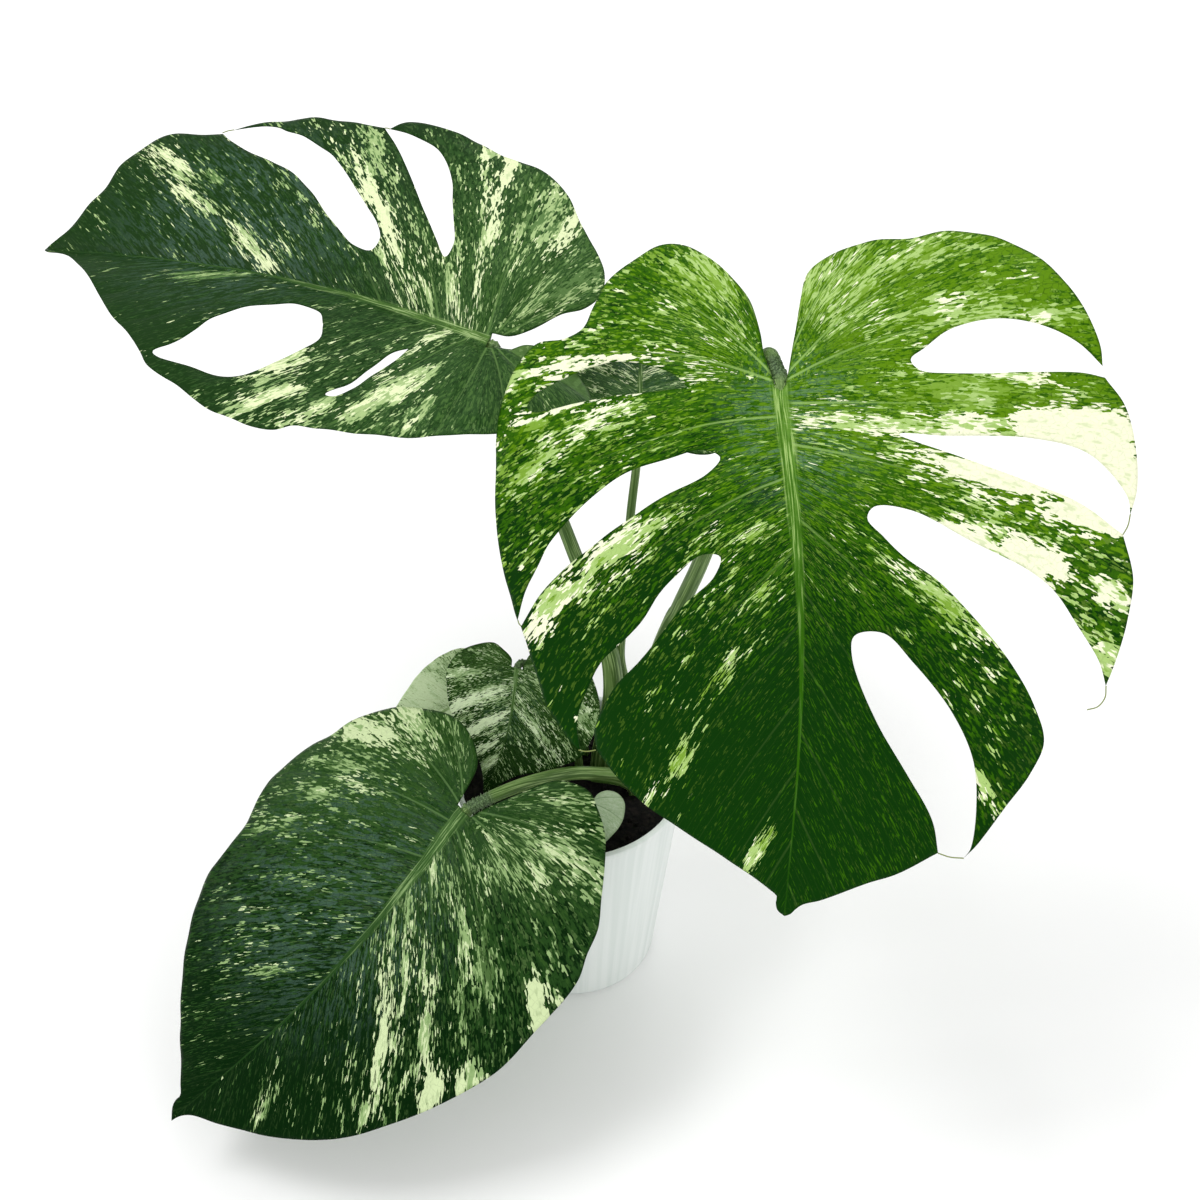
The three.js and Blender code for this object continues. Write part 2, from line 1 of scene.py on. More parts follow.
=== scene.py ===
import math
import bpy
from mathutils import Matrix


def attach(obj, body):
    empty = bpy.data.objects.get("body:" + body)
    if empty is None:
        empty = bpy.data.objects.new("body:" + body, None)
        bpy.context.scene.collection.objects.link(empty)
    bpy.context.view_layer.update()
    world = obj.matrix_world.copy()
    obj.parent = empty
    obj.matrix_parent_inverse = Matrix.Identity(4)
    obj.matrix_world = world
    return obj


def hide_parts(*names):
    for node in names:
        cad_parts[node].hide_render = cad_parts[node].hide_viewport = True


bl_info = {
    "name": "Potted variegated monstera",
    "version": (1, 0, 0),
    "blender": (4, 5, 0),
    "location": "View3D > Sidebar > Monstera",
    "description": "Builds the blades, stalks, soil and pot of a variegated monstera",
    "category": "Object",
}

import bpy
import numpy as np
from mathutils import Vector, kdtree, noise
from mathutils.geometry import delaunay_2d_cdt

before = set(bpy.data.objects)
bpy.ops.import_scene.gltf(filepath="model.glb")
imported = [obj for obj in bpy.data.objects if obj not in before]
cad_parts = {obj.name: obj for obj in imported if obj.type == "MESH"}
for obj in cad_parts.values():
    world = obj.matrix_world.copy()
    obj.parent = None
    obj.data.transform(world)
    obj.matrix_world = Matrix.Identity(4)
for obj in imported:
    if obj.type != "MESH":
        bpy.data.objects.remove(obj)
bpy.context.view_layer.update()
MM = 0.001

# Height of the stem's foot, length of a grown blade, and length of the wrinkled joint and of
# the finely stepped stretch at the top of a grown petiole, in mm
STEM_FOOT = 104.3
GROWN_LENGTH = 150
JOINT_LENGTH = 17
FINE_LENGTH = 22

# Leaf outlines in mm, along the midrib from the joint and across it, one run for each smooth
# stretch. Each run starts where the one before it ends.
FRONT_OUTLINE = [
    [[0, -2.6], [-5, -4.2], [-14, -7.6], [-25, -10], [-41, -16], [-52, -25], [-64, -38],
     [-72, -54], [-70, -67], [-55, -88], [-44, -94], [-34, -98], [-29, -108], [-28, -122],
     [-20, -131], [-8, -137], [14, -143], [39, -144], [70, -141], [97, -133], [104, -130]],
    [[104, -130], [91, -126], [78, -119], [67, -112], [50, -93], [38, -73], [32, -50], [29, -36],
     [33, -27], [40, -33], [49, -53], [62, -76], [77, -99], [91, -116], [107, -128]],
    [[107, -128], [123, -123], [145, -114], [161, -103], [165, -98]],
    [[165, -98], [153, -99], [138, -94], [124, -85], [108, -66], [94, -56], [86, -48], [77, -36],
     [78, -27], [87, -30], [100, -45], [120, -62], [138, -80], [156, -90], [165, -89]],
    [[165, -89], [186, -69], [198, -52], [210, -32], [220, -16], [227, -6.5], [230, -3.4],
     [232.5, -3.9], [236, -3.2], [238.5, 0]],
    [[238.5, 0], [237.6, 2.8], [235.4, 5.2], [233.2, 8.6], [231, 17], [223, 38], [219, 50],
     [209, 69]],
    [[209, 69], [195, 67], [176, 57], [151, 43], [124, 33], [114, 34], [113, 47], [126, 60],
     [147, 76], [168, 85], [189, 86], [207, 83], [211, 80]],
    [[211, 80], [205, 86], [189, 98], [174, 109], [160, 115], [144, 111], [125, 101], [107, 87],
     [90, 71], [79, 56], [70, 47], [62, 40], [57, 43], [59, 60], [73, 86], [85, 109], [94, 120],
     [108, 129], [124, 138], [135, 141]],
    [[135, 141], [127, 144], [108, 150], [88, 153], [69, 149]],
    [[69, 149], [56, 132], [46, 109], [35, 80], [25, 54], [26, 75], [27, 110], [32, 132],
     [41, 143], [53, 151], [60, 152]],
    [[60, 152], [48, 155], [28, 154], [12, 150], [0, 142]],
    [[0, 142], [-2, 132], [-2, 110], [-2, 75], [-4, 63], [-9, 59], [-14, 65], [-22, 76],
     [-27, 95], [-25, 111], [-16, 130], [-5, 141]],
    [[-5, 141], [-14, 140], [-32, 133], [-53, 117], [-64, 101], [-71, 74], [-67, 55], [-66, 37],
     [-59, 17], [-52, 10], [-39, 8], [-22, 6], [-6, 4], [0, 2.6]],
    [[0, 2.6], [1.6, 1.3], [1.6, -1.3], [0, -2.6]],
]
FRONT_HOLE = [
    [[0, -43], [-6, -49], [-12, -64], [-15, -80], [-12, -98], [-3, -120], [3, -126], [6, -122],
     [5, -110], [2, -86], [1, -68], [0, -43]],
]
BACK_OUTLINE = [
    [[0, -5], [-9, -6], [-18, -13], [-29, -26], [-39, -35], [-44, -47], [-41, -60], [-33, -71],
     [-21, -84], [-7, -102], [4, -110], [17, -115], [38, -119], [52, -126], [67, -131],
     [81, -131], [93, -128], [101, -119]],
    [[101, -119], [80, -117], [71, -113], [63, -105], [54, -90], [49, -77], [43, -63], [38, -50],
     [39, -40], [47, -49], [62, -68], [83, -96], [93, -108], [104, -119]],
    [[104, -119], [129, -120], [145, -119], [162, -113], [183, -97]],
    [[183, -97], [162, -107], [155, -105], [143, -102], [128, -95], [114, -84], [102, -72],
     [90, -60], [81, -51], [76, -42], [78, -34], [88, -35], [101, -44], [111, -52], [123, -63],
     [138, -73], [152, -78], [178, -86], [188, -93]],
    [[188, -93], [200, -89], [214, -87], [223, -80], [233, -61], [235, -43], [239, -30],
     [242, -14], [246, -5.5], [249.3, 0.6], [248.6, 3.4]],
    [[248.6, 3.4], [245.4, 5], [240, 4.2], [234, 4.6], [224, 12], [212, 23], [198, 37], [186, 49],
     [170, 61], [157, 73], [149, 81], [128, 90], [106, 100], [92, 103], [81, 105], [72, 103],
     [64, 97], [54, 95], [42, 93], [27, 91], [12, 87], [-1, 81], [-14, 73], [-29, 64], [-48, 45],
     [-56, 31], [-60, 16], [-55, 5], [-43, -4], [-30, -7], [-18, -5], [-10, 1], [0, 5]],
]
BACK_HOLE = [
    [[79, 26], [86, 15], [99, 13], [109, 17], [123, 27], [133, 39], [138, 51], [145, 64],
     [151, 71], [147, 74], [128, 76], [106, 76], [97, 70], [89, 59], [81, 47], [76, 37],
     [79, 26]],
]
BACK_NARROW_HOLE = [
    [[33, 26], [38, 32], [44, 47], [50, 62], [58, 73], [53, 73], [47, 64], [41, 51], [35, 37],
     [33, 26]],
]
LOW_OUTLINE = [
    [[0, -5], [-12, -9], [-21, -14], [-27, -23], [-30, -35], [-29, -47], [-23, -60], [-12, -77],
     [0, -87], [12, -93], [25, -98], [38, -104], [51, -108], [65, -109], [76, -104], [90, -98],
     [105, -94], [127, -91], [137, -84], [159, -64], [177, -44], [193, -24], [203, -11],
     [207.3, -5.7], [210, -5.9], [213.4, -4.8], [219, 0]],
    [[219, 0], [214, 2.2], [209, 6.5], [200, 22], [180, 51], [156, 74], [129, 88], [103, 98],
     [76, 105], [49, 104], [17, 102], [5, 97], [-8, 92], [-20, 82], [-38, 66], [-45, 58],
     [-50, 48], [-53, 39], [-50, 30], [-44, 22], [-23, 13], [-10, 8], [0, 5]],
]
SMALL_OUTLINE = [
    [[0, -3], [-4, -4], [-8, -10], [-10, -16], [-6, -26], [1, -34], [11, -37], [18, -35],
     [31, -29], [43, -15], [58, -4], [71, 0]],
    [[71, 0], [57, 13], [51, 25], [44, 37], [37, 45], [22, 49], [8, 48], [-6, 40], [-14, 31],
     [-17, 22], [-14, 11], [-9, 5], [0, 3]],
]
HEART_SIDE = [
    [-0.03, 0.05], [-0.14, 0.1], [-0.23, 0.22], [-0.22, 0.36], [-0.1, 0.47], [0.08, 0.5],
    [0.28, 0.47], [0.5, 0.36], [0.72, 0.21], [0.9, 0.07], [1, 0],
]

# Where each leaf stands, in mm and degrees, as its solid does. `veins` gives, for the right and
# the left half, lines that leave the midrib at a distance from the joint, at an angle from the
# tip's direction, and curl forward by so much a mm. Those below 0 fan out of the joint.
# `laterals` are the distances at which the main side veins leave. One list serves both halves.
# COMMON holds what a leaf has where its own row doesn't say otherwise.
COMMON = dict(holes=[], slot="deep_blade", coarse=1.0, plain_ground=0.0, sinus=0.0, sheath=0.4)
LEAVES = {
    "front_leaf": dict(
        outline=FRONT_OUTLINE, holes=[FRONT_HOLE],
        slot="bright_blade",
        joint=(97.4, -22.5, 411.2), points_to=(93.1, -198.7, 250.9), face=(-116, 45),
        length=238, width=155, fold=5, cup=28, tip_droop=20, base_droop=16, base_reach=70,
        bow=10, wave=1.6, keel=3.2, rib_width=(4.9, 0.9),
        veins={
            1: [(-60, 176, 0.003), (-40, 150, 0.005), (-20, 122, 0.005), (-4, 98, 0.002),
                (9, 88, 0.0), (27, 78, 0.001), (60, 50, 0.001), (85, 38, 0.0015), (150, 30, 0.001),
                (238, 22, 0.0)],
            -1: [(-60, 176, 0.003), (-40, 150, 0.005), (-20, 118, 0.005), (-4, 96, 0.004),
                 (15, 90, 0.004), (42, 72, 0.0045), (75, 52, 0.003), (130, 40, 0.001),
                 (238, 30, 0.0)],
        },
        laterals={1: [-50, -34, -18, 9, 27, 60, 92, 124, 156, 190],
                  -1: [-50, -34, -18, 15, 42, 75, 108, 140, 172, 205]},
        foot=(41, 9),
        route=[(41, 8, 150), (41, 5, 184), (47.4, -3, 228), (56.6, -10, 266), (65.8, -15, 300),
               (78, -12, 345), (87, -3, 388), (91, 1, 406), (93.8, -4, 413.6),
               (95.8, -13, 412.2)],
        radii=[(0, 5.6), (0.12, 5.6), (0.46, 4.9), (0.47, 4.2), (0.9, 3.5), (0.94, 3.8),
               (1, 3.3)],
        sheath=0.465,
    ),
    "back_leaf": dict(
        outline=BACK_OUTLINE, holes=[BACK_HOLE, BACK_NARROW_HOLE],
        coarse=1.1, plain_ground=0.06,
        joint=(-39.8, 88.3, 354.8), points_to=(-273.2, 163.3, 380.7), face=(-75, 79),
        length=247, width=128, fold=18, cup=3, tip_droop=24, base_droop=12, base_reach=62,
        bow=-8, wave=1.6, keel=3.0, sinus=0.5, rib_width=(3.8, 0.8),
        veins={
            1: [(-60, 176, 0.003), (-40, 140, 0.004), (-18, 105, 0.004), (-2, 80, 0.003),
                (14, 66, 0.002), (45, 52, 0.001), (100, 42, 0.0), (170, 34, 0.0), (247, 28, 0.0)],
            -1: [(-60, 190, 0.003), (-40, 150, 0.004), (-18, 118, 0.003), (-4, 92, 0.0),
                 (8, 78, 0.0), (30, 60, 0.001), (60, 48, 0.001), (120, 38, 0.001),
                 (247, 30, 0.0)],
        },
        laterals={1: [-44, -30, -14, 10, 34, 70, 104, 138, 170, 202],
                  -1: [-44, -30, -14, 2, 28, 60, 92, 126, 160, 196]},
        foot=(19, 16),
        route=[(21, 20, 145), (23.5, 25, 172), (21, 29, 198), (13.6, 33, 227), (4.3, 39, 252.5),
               (-2.9, 45, 272), (-15.4, 58, 302.3), (-26.5, 73, 328), (-30.5, 80, 339),
               (-32.5, 83, 345.6), (-36, 85.6, 350.4)],
        radii=[(0, 8), (0.1, 8), (0.24, 5.6), (0.34, 4.9), (0.35, 4.2), (0.92, 3.1), (0.95, 3.5),
               (1, 3.1)],
        sheath=0.345,
    ),
    "low_leaf": dict(
        outline=LOW_OUTLINE, coarse=1.1, plain_ground=0.04,
        joint=(-53.6, -56.2, 164.5), points_to=(-207.5, -166.4, 61.4), face=(-125, 60),
        length=215, width=120, fold=3, cup=32, tip_droop=20, base_droop=8, base_reach=60,
        bow=11, wave=1.6, keel=3.0, rib_width=(4.4, 0.9),
        veins={
            1: [(-60, 176, 0.004), (-40, 146, 0.006), (-20, 112, 0.006), (-2, 78, 0.004),
                (14, 62, 0.003), (50, 48, 0.002), (110, 38, 0.001), (215, 28, 0.0)],
            -1: [(-60, 176, 0.004), (-40, 146, 0.006), (-20, 112, 0.006), (-2, 84, 0.004),
                 (14, 72, 0.003), (50, 56, 0.002), (110, 42, 0.001), (215, 28, 0.0)],
        },
        laterals=[-46, -30, -14, 8, 30, 56, 84, 114, 144, 176],
        foot=(36, -3),
        route=[(33.5, -4, 131), (28, -5.5, 136), (18, -8, 141), (2.5, -16, 150.5),
               (-17, -33, 163), (-33, -45, 167.3), (-44, -51.6, 167)],
        radii=[(0, 4.4), (0.2, 4.4), (0.4, 3.7), (1, 3.3)],
    ),
    "small_leaf": dict(
        outline=SMALL_OUTLINE, plain_ground=0.15,
        joint=(-28.3, 29.1, 184.5), points_to=(-47, -20.8, 137.4), face=(-100, 48),
        length=71, width=45, fold=2.5, cup=6, tip_droop=6, base_droop=3, base_reach=20,
        bow=4, wave=0.8, keel=1.6, rib_width=(1.4, 0.5),
        veins=[(-20, 176, 0.012), (-10, 130, 0.014), (-1, 84, 0.01), (14, 60, 0.006),
               (40, 46, 0.0), (71, 34, 0.0)],
        laterals=[-15, -8, -1, 9, 19, 30, 42, 55],
        foot=(5, 12), route=[(2, 20, 142), (-7, 29, 162), (-19, 35, 178), (-26, 33, 184.6)],
        radii=[(0, 2.3), (1, 1.9)],
    ),
    "pale_leaf": dict(
        heart=(60, 58), slot="pale_blade", plain_ground=0.6,
        joint=(-54, 40, 153.5), points_to=(-104.5, 26, 133.5), face=(-105, 58),
        length=60, width=35, fold=2, cup=5, tip_droop=5, base_droop=2, base_reach=16,
        bow=1.5, wave=0.7, keel=1.5, rib_width=(1.3, 0.5),
        foot=(8, 26), route=[(2, 32, 137), (-14, 40, 149), (-34, 43, 155.5), (-46, 41.5, 155.3)],
        radii=[(0, 2.1), (1, 1.7)],
    ),
    "seedling_leaf": dict(
        heart=(36, 40), slot="pale_blade",
        joint=(10, -27.5, 140.5), points_to=(3.5, -54.5, 126.5), face=(-95, 60),
        length=36, width=22, fold=1.2, cup=2.5, tip_droop=2, base_droop=1, base_reach=9,
        bow=1, wave=0.4, keel=1.2, rib_width=(0.8, 0.3),
        foot=(20, -22), route=[(17, -22.5, 130), (12.3, -24, 136.5)],
        radii=[(0, 1.7), (1, 1.4)], sheath=0.3,
    ),
    "hidden_leaf": dict(
        heart=(100, 104), coarse=1.3, plain_ground=0.15,
        joint=(37, 97, 305), points_to=(45, 194, 326), face=(-85, 72),
        length=100, width=60, fold=3, cup=8, tip_droop=10, base_droop=4, base_reach=26,
        bow=2, wave=1, keel=1.8, rib_width=(1.8, 0.5),
        foot=(27, 33),
        route=[(29.5, 33, 150), (29.5, 33, 170), (27, 34, 190), (30, 40, 226), (32, 54, 269),
               (35, 68, 292), (36.5, 84, 303), (36.8, 91, 304)],
        radii=[(0, 3), (0.3, 2.6), (1, 2.1)], sheath=0.3,
    ),
}

# The side veins of a plain heart-shaped leaf, as shares of its length
HEART_VEINS = [(-0.28, 176, 1.0), (-0.14, 135, 1.1), (-0.01, 86, 0.8), (0.2, 60, 0.4),
               (0.55, 46, 0.0), (1.0, 34, 0.0)]
HEART_LATERALS = [-0.22, -0.11, 0.0, 0.14, 0.28, 0.44, 0.6, 0.78]


def spline(points, spacing):
    """A smooth centripetal curve through the points, in even steps of about spacing."""
    points = np.asarray(points, float)
    ends = np.vstack([2 * points[0] - points[1], points, 2 * points[-1] - points[-2]])
    pieces = []
    for p0, p1, p2, p3 in zip(ends[:-3], ends[1:-2], ends[2:-1], ends[3:]):
        d0, d1, d2 = (math.sqrt(np.linalg.norm(q - p)) for p, q in ((p0, p1), (p1, p2), (p2, p3)))
        go = ((p1 - p0) / d0 - (p2 - p0) / (d0 + d1) + (p2 - p1) / d1) * d1
        come = ((p2 - p1) / d1 - (p3 - p1) / (d1 + d2) + (p3 - p2) / d2) * d1
        u = np.linspace(0, 1, 24, endpoint=False)[:, None]
        pieces.append(p1 + go * u + (3 * (p2 - p1) - 2 * go - come) * u ** 2
                      + (2 * (p1 - p2) + go + come) * u ** 3)
    dense = np.vstack(pieces + [points[-1:]])
    run = np.r_[0, np.cumsum(np.linalg.norm(np.diff(dense, axis=0), axis=1))]
    steps = max(2, round(run[-1] / spacing))
    at = np.linspace(0, run[-1], steps + 1)
    return np.stack([np.interp(at, run, dense[:, k]) for k in range(dense.shape[1])], axis=1)


def smoothstep(low, high, x):
    """0 below low, 1 above high, and smooth between."""
    t = np.clip((x - low) / (high - low), 0, 1)
    return t * t * (3 - 2 * t)


def unit(vector):
    """The vector at length 1."""
    return vector / np.linalg.norm(vector)


def inside(points, loops):
    """Which points lie within the loops, where a loop inside another is a hole."""
    odd = np.zeros(len(points), bool)
    for loop in loops:
        for p, q in zip(loop, np.roll(loop, -1, axis=0)):
            if p[1] == q[1]:
                continue
            across = (p[1] > points[:, 1]) != (q[1] > points[:, 1])
            reach = (q[0] - p[0]) * (points[:, 1] - p[1]) / (q[1] - p[1]) + p[0]
            odd ^= across & (points[:, 0] < reach)
    return odd


class Leaf:
    """One leaf: its own frame, its curved middle surface and the lines of its veins, in mm."""

    def __init__(self, name):
        self.name = name
        self.__dict__.update({**COMMON, **LEAVES[name]})
        if "heart" in LEAVES[name]:
            self.dress_as_heart()
        for key in ("veins", "laterals"):
            rows = getattr(self, key)
            if isinstance(rows, list):
                setattr(self, key, {1: rows, -1: rows})
        self.joint = np.array(self.joint, float)
        azimuth, elevation = np.radians(self.face)
        out = np.array([math.cos(elevation) * math.cos(azimuth),
                        math.cos(elevation) * math.sin(azimuth), math.sin(elevation)])
        self.along = unit(np.array(self.points_to, float) - self.joint)
        self.out = unit(out - (out @ self.along) * self.along)
        self.across = np.cross(self.out, self.along)

    def dress_as_heart(self):
        """Gives a plain heart its outline and its side veins."""
        length, width = self.heart
        left = [(a * length, -b * width) for a, b in HEART_SIDE]
        right = [(a * length, b * width) for a, b in HEART_SIDE][::-1]
        self.outline = [[(0, -0.05 * width)] + left[1:], right[:-1] + [(0, 0.05 * width)]]
        self.veins = [(s * length, angle, curl / length) for s, angle, curl in HEART_VEINS]
        self.laterals = [s * length for s in HEART_LATERALS]

    def midrib(self, a):
        """How far the midrib bows across at a distance along."""
        return self.bow * np.sin(np.pi * np.clip(a / self.length, 0, 1))

    def side_of(self, a, b):
        """1 on the right half of the blade and -1 on the left."""
        return np.where(b > self.midrib(a) + self.sinus * np.minimum(a, 0), 1, -1)

    def height(self, a, b):
        """The blade's curved middle surface above its flat plane."""
        ahead = np.maximum(0, a) / self.length
        behind = np.maximum(0, -a) / self.base_reach
        aside = np.abs(b - self.midrib(a))
        edge = np.hypot(b / self.width, (a - 0.35 * self.length) / (0.65 * self.length))
        turn = np.arctan2(b, a - 0.3 * self.length)
        return (self.fold * (1 - np.exp(-aside / (0.3 * self.width)))
                - self.cup * (b / self.width) ** 2 - self.tip_droop * ahead ** 2
                - self.base_droop * behind ** 2 + self.wave * edge ** 3 * np.sin(9 * turn + 1))

    def place(self, a, b, height=None):
        """Points of the plant, in mm, from places on the leaf."""
        height = self.height(a, b) if height is None else height
        return (self.joint + np.multiply.outer(a, self.along)
                + np.multiply.outer(b, self.across) + np.multiply.outer(height, self.out))

    def normal(self, a, b):
        """The middle surface's unit normal, on the upper face's side."""
        ahead = self.place(a + 0.5, b) - self.place(a - 0.5, b)
        aside = self.place(a, b + 0.5) - self.place(a, b - 0.5)
        cross = np.cross(ahead, aside)
        return cross / np.linalg.norm(cross, axis=-1, keepdims=True)

    def vein_line(self, s, side):
        """Foot, direction, forward normal and curl of the side vein that leaves at s."""
        rows = np.array(self.veins[side], float)
        angle = np.radians(np.interp(s, rows[:, 0], rows[:, 1]))
        curl = np.interp(s, rows[:, 0], rows[:, 2])
        foot = np.maximum(s, 0)
        along = np.stack([np.cos(angle), side * np.sin(angle)], axis=-1)
        ahead = np.stack([np.sin(angle), -side * np.cos(angle)], axis=-1)
        return np.stack([foot, self.midrib(foot)], axis=-1), along, ahead, curl

    def vein_point(self, s, t, side):
        """The place at a distance t out along the side vein that leaves at s."""
        foot, along, ahead, curl = self.vein_line(s, side)
        t = np.asarray(t, float)
        return foot + along * t[..., None] + ahead * (0.5 * curl * t * t)[..., None]

    def vein_spread(self, count, side):
        """The gap between two main side veins at mid width, for a count of those passed."""
        gaps = {}
        for half, marks in self.laterals.items():
            feet = self.vein_point(np.array(marks, float), np.full(len(marks), 0.45 * self.width),
                                   half)
            steps = np.linalg.norm(np.diff(feet, axis=0), axis=1)
            gaps[half] = np.interp(count, np.arange(len(steps)) + 0.5, steps)
        return np.where(side > 0, gaps[1], gaps[-1])

    def vein_fields(self, a, b, side):
        """For places on one half: distance out along the veins, distance across them, count of
        main side veins passed, and the gap between two of those there."""
        rows = self.veins[side]
        spot = np.stack([a, b], axis=-1)
        low = np.full(a.shape, float(rows[0][0]))
        high = np.full(a.shape, float(rows[-1][0]))
        for _ in range(24):
            s = (low + high) / 2
            foot, along, ahead, curl = self.vein_line(s, side)
            t = ((spot - foot) * along).sum(-1)
            past = ((spot - foot) * ahead).sum(-1) - 0.5 * curl * t * t > 0
            low = np.where(past, s, low)
            high = np.where(past, high, s)
        steps = np.linspace(rows[0][0], rows[-1][0], 160)
        middle = self.vein_point(steps, np.full(160, 0.45 * self.width), side)
        run = np.r_[0, np.cumsum(np.linalg.norm(np.diff(middle, axis=0), axis=1))]
        marks = np.array(self.laterals[side], float)
        beyond = marks[-1] + np.diff(marks)[-1] * np.arange(1, 5)
        marks = np.r_[2 * marks[0] - marks[1], marks, beyond]
        count = np.interp(s, marks, np.arange(len(marks)) - 1)
        pitch = np.interp(s, (marks[1:] + marks[:-1]) / 2, np.diff(marks))
        spread = (self.vein_point(s + 0.5, t, side) - self.vein_point(s - 0.5, t, side)) * ahead
        gap = np.abs(spread.sum(-1)) * pitch
        return t, side * (np.interp(s, steps, run) + 40), count, gap


# Where the cream lies. A patch is (along, across, half its length along the veins, half its width,
# how solid it is), and ground is (along, across, reach, how freckled it is), in mm from the joint.
# PLAIN_TONE is how white a freckle far from any patch is.
PLAIN_TONE = 0.35
PATCHES = {
    "front_leaf": [
        (-63, 63, 4, 2, 0.82), (-32, 88, 12, 3, 0.85), (-27, 104, 20, 3, 0.85),
        (0, 109, 9, 3, 0.95), (7, 85, 18, 6, 0.75), (24, 129, 30, 11, 1.3), (45, 147, 15, 12, 1.3),
        (20, 40, 32, 4, 0.9), (24, 86, 30, 7, 0.95), (43, 93, 26, 6, 1.15), (60, 134, 18, 7, 1.2),
        (76, 97, 30, 7, 0.9), (80, 110, 18, 7, 1.15), (94, 143, 10, 5, 0.95),
        (122, 142, 12, 6, 0.9), (104, 80, 24, 4, 0.85), (181, 90, 15, 3, 0.85),
        (-52, -44, 8, 2, 0.8), (-50, -30, 7, 2, 0.8), (-16, -92, 30, 2, 1.1),
        (3, -98, 26, 2, 1.05), (-11, -132, 8, 4, 0.9), (12, -88, 12, 3, 0.9),
        (13, -120, 7, 3, 0.8), (36, -128, 10, 3, 0.8), (74, -80, 26, 6, 0.92),
        (84, -92, 20, 4, 0.9), (98, -112, 18, 6, 0.92), (67, -9, 4, 1, 0.85), (94, -8, 6, 2, 0.82),
        (123, -22, 6, 2, 0.84), (171, -47, 10, 3, 0.85), (186, -63, 6, 2, 0.85),
        (211, -12, 13, 3, 0.82),
    ],
    "back_leaf": [
        (208, -68, 17, 4, 0.95), (200, -58, 9, 2, 0.9), (190, -48, 12, 3, 0.95),
        (178, -42, 10, 3, 0.9), (176, -60, 8, 2, 0.8), (139, -22, 17, 3, 0.95),
        (154, 4, 15, 5, 0.75), (120, -70, 8, 2, 0.85), (130, -84, 9, 2, 0.8), (84, 58, 15, 5, 0.9),
        (82, 84, 16, 5, 0.9), (95, 99, 13, 4, 0.85), (60, 84, 14, 4, 0.9), (83, -60, 40, 4, 1),
        (76, -40, 18, 2, 0.9), (98, -92, 14, 5, 0.82), (106, -108, 12, 4, 0.82),
        (30, -112, 24, 4, 1), (44, -122, 14, 4, 0.92), (-4, -78, 20, 4, 0.84),
        (-15, -86, 12, 3, 1), (8, -66, 20, 2, 0.82), (21, -48, 34, 2, 0.95),
        (31, -26, 18, 3, 0.86), (37, -14, 15, 2, 0.92), (48, -64, 16, 2, 0.84),
        (-14, -23, 10, 3, 0.82), (-28, -40, 10, 3, 0.78), (25, 11, 13, 3, 0.92),
        (24, 56, 22, 8, 0.9), (34, 74, 14, 5, 0.86), (10, 68, 12, 4, 0.82),
    ],
    "low_leaf": [
        (-12, -66, 9, 3, 0.95), (6, -80, 12, 3, 1), (16, -88, 10, 3, 1), (31, -58, 7, 2, 0.9),
        (52, -75, 11, 3, 0.8), (70, -74, 6, 2, 0.8), (33, -76, 6, 2, 0.85), (133, -19, 7, 2, 0.84),
        (178, 34, 6, 3, 0.88), (-19, 49, 8, 3, 0.9), (-4, 53, 6, 3, 0.9), (31, 10, 8, 2, 0.9),
        (65, 16, 10, 2, 0.9), (89, 34, 12, 2, 0.98), (110, 56, 24, 3, 1), (78, 41, 20, 2, 0.95),
        (91, 69, 21, 3, 0.96), (108, 89, 10, 5, 1.05), (91, 97, 7, 6, 0.92), (42, 99, 15, 7, 1.05),
        (45, 52, 11, 2, 0.88), (66, 71, 5, 2, 0.8), (49, 70, 6, 2, 0.8), (137, 73, 6, 4, 0.9),
    ],
    "small_leaf": [
        (24, -20, 17, 3, 1), (36, -12, 15, 3, 1), (16, -12, 10, 2, 0.9), (46, -6, 10, 2, 0.95),
        (10, -28, 9, 2, 0.9), (54, -3, 8, 2, 0.9), (18, 45, 12, 4, 0.85), (28, 18, 12, 2, 0.9),
        (8, 24, 12, 2, 0.85),
    ],
    "pale_leaf": [(24, -12, 26, 10, 0.98), (24, 12, 26, 10, 0.98)],
    "seedling_leaf": [],
    "hidden_leaf": [
        (20, -40, 20, 3, 0.95), (50, -30, 24, 3, 0.9), (40, 40, 22, 4, 0.9),
    ],
}
GROUND = {
    "front_leaf": [
        (-30, -76, 50, 0.24), (30, -110, 50, 0.2), (84, -100, 40, 0.24), (130, -60, 36, 0.06),
        (-45, 25, 24, 0.85), (-54, -38, 16, 0.6), (-20, -24, 12, 0.4), (-36, -54, 14, 0.4),
        (-40, 70, 60, 0.26), (10, 70, 40, 0.2), (80, -30, 24, 0.18), (60, 100, 44, 0.26),
        (110, 120, 44, 0.22), (140, 90, 50, 0.05), (60, 50, 40, 0.05), (190, 20, 60, -0.4),
        (140, 20, 40, -0.24), (30, -30, 30, -0.04),
    ],
    "back_leaf": [
        (40, -90, 70, 0.14), (90, -70, 60, 0.14), (-20, -60, 50, 0.16), (150, -60, 50, 0.12),
        (60, 80, 60, 0.12), (190, 20, 60, -0.06), (210, -50, 50, 0.06), (0, 45, 34, -0.2),
        (120, 0, 40, 0.0), (-40, 10, 30, -0.1),
    ],
    "low_leaf": [
        (-8, -64, 34, 0.5), (10, -84, 24, 0.45), (60, -70, 60, 0.14), (-20, 50, 50, 0.38),
        (12, 33, 16, 0.5), (60, 70, 60, 0.12), (130, 60, 60, 0.06), (120, -60, 60, 0.08),
        (190, 0, 50, -0.02), (30, -20, 30, 0.0),
    ],
    "small_leaf": [(20, -20, 40, 0.24), (10, 30, 40, 0.26)],
    "pale_leaf": [(20, 0, 60, 0.6)],
    "seedling_leaf": [(0, 0, 10, 0.0)],
    "hidden_leaf": [(30, 0, 90, 0.2)],
}


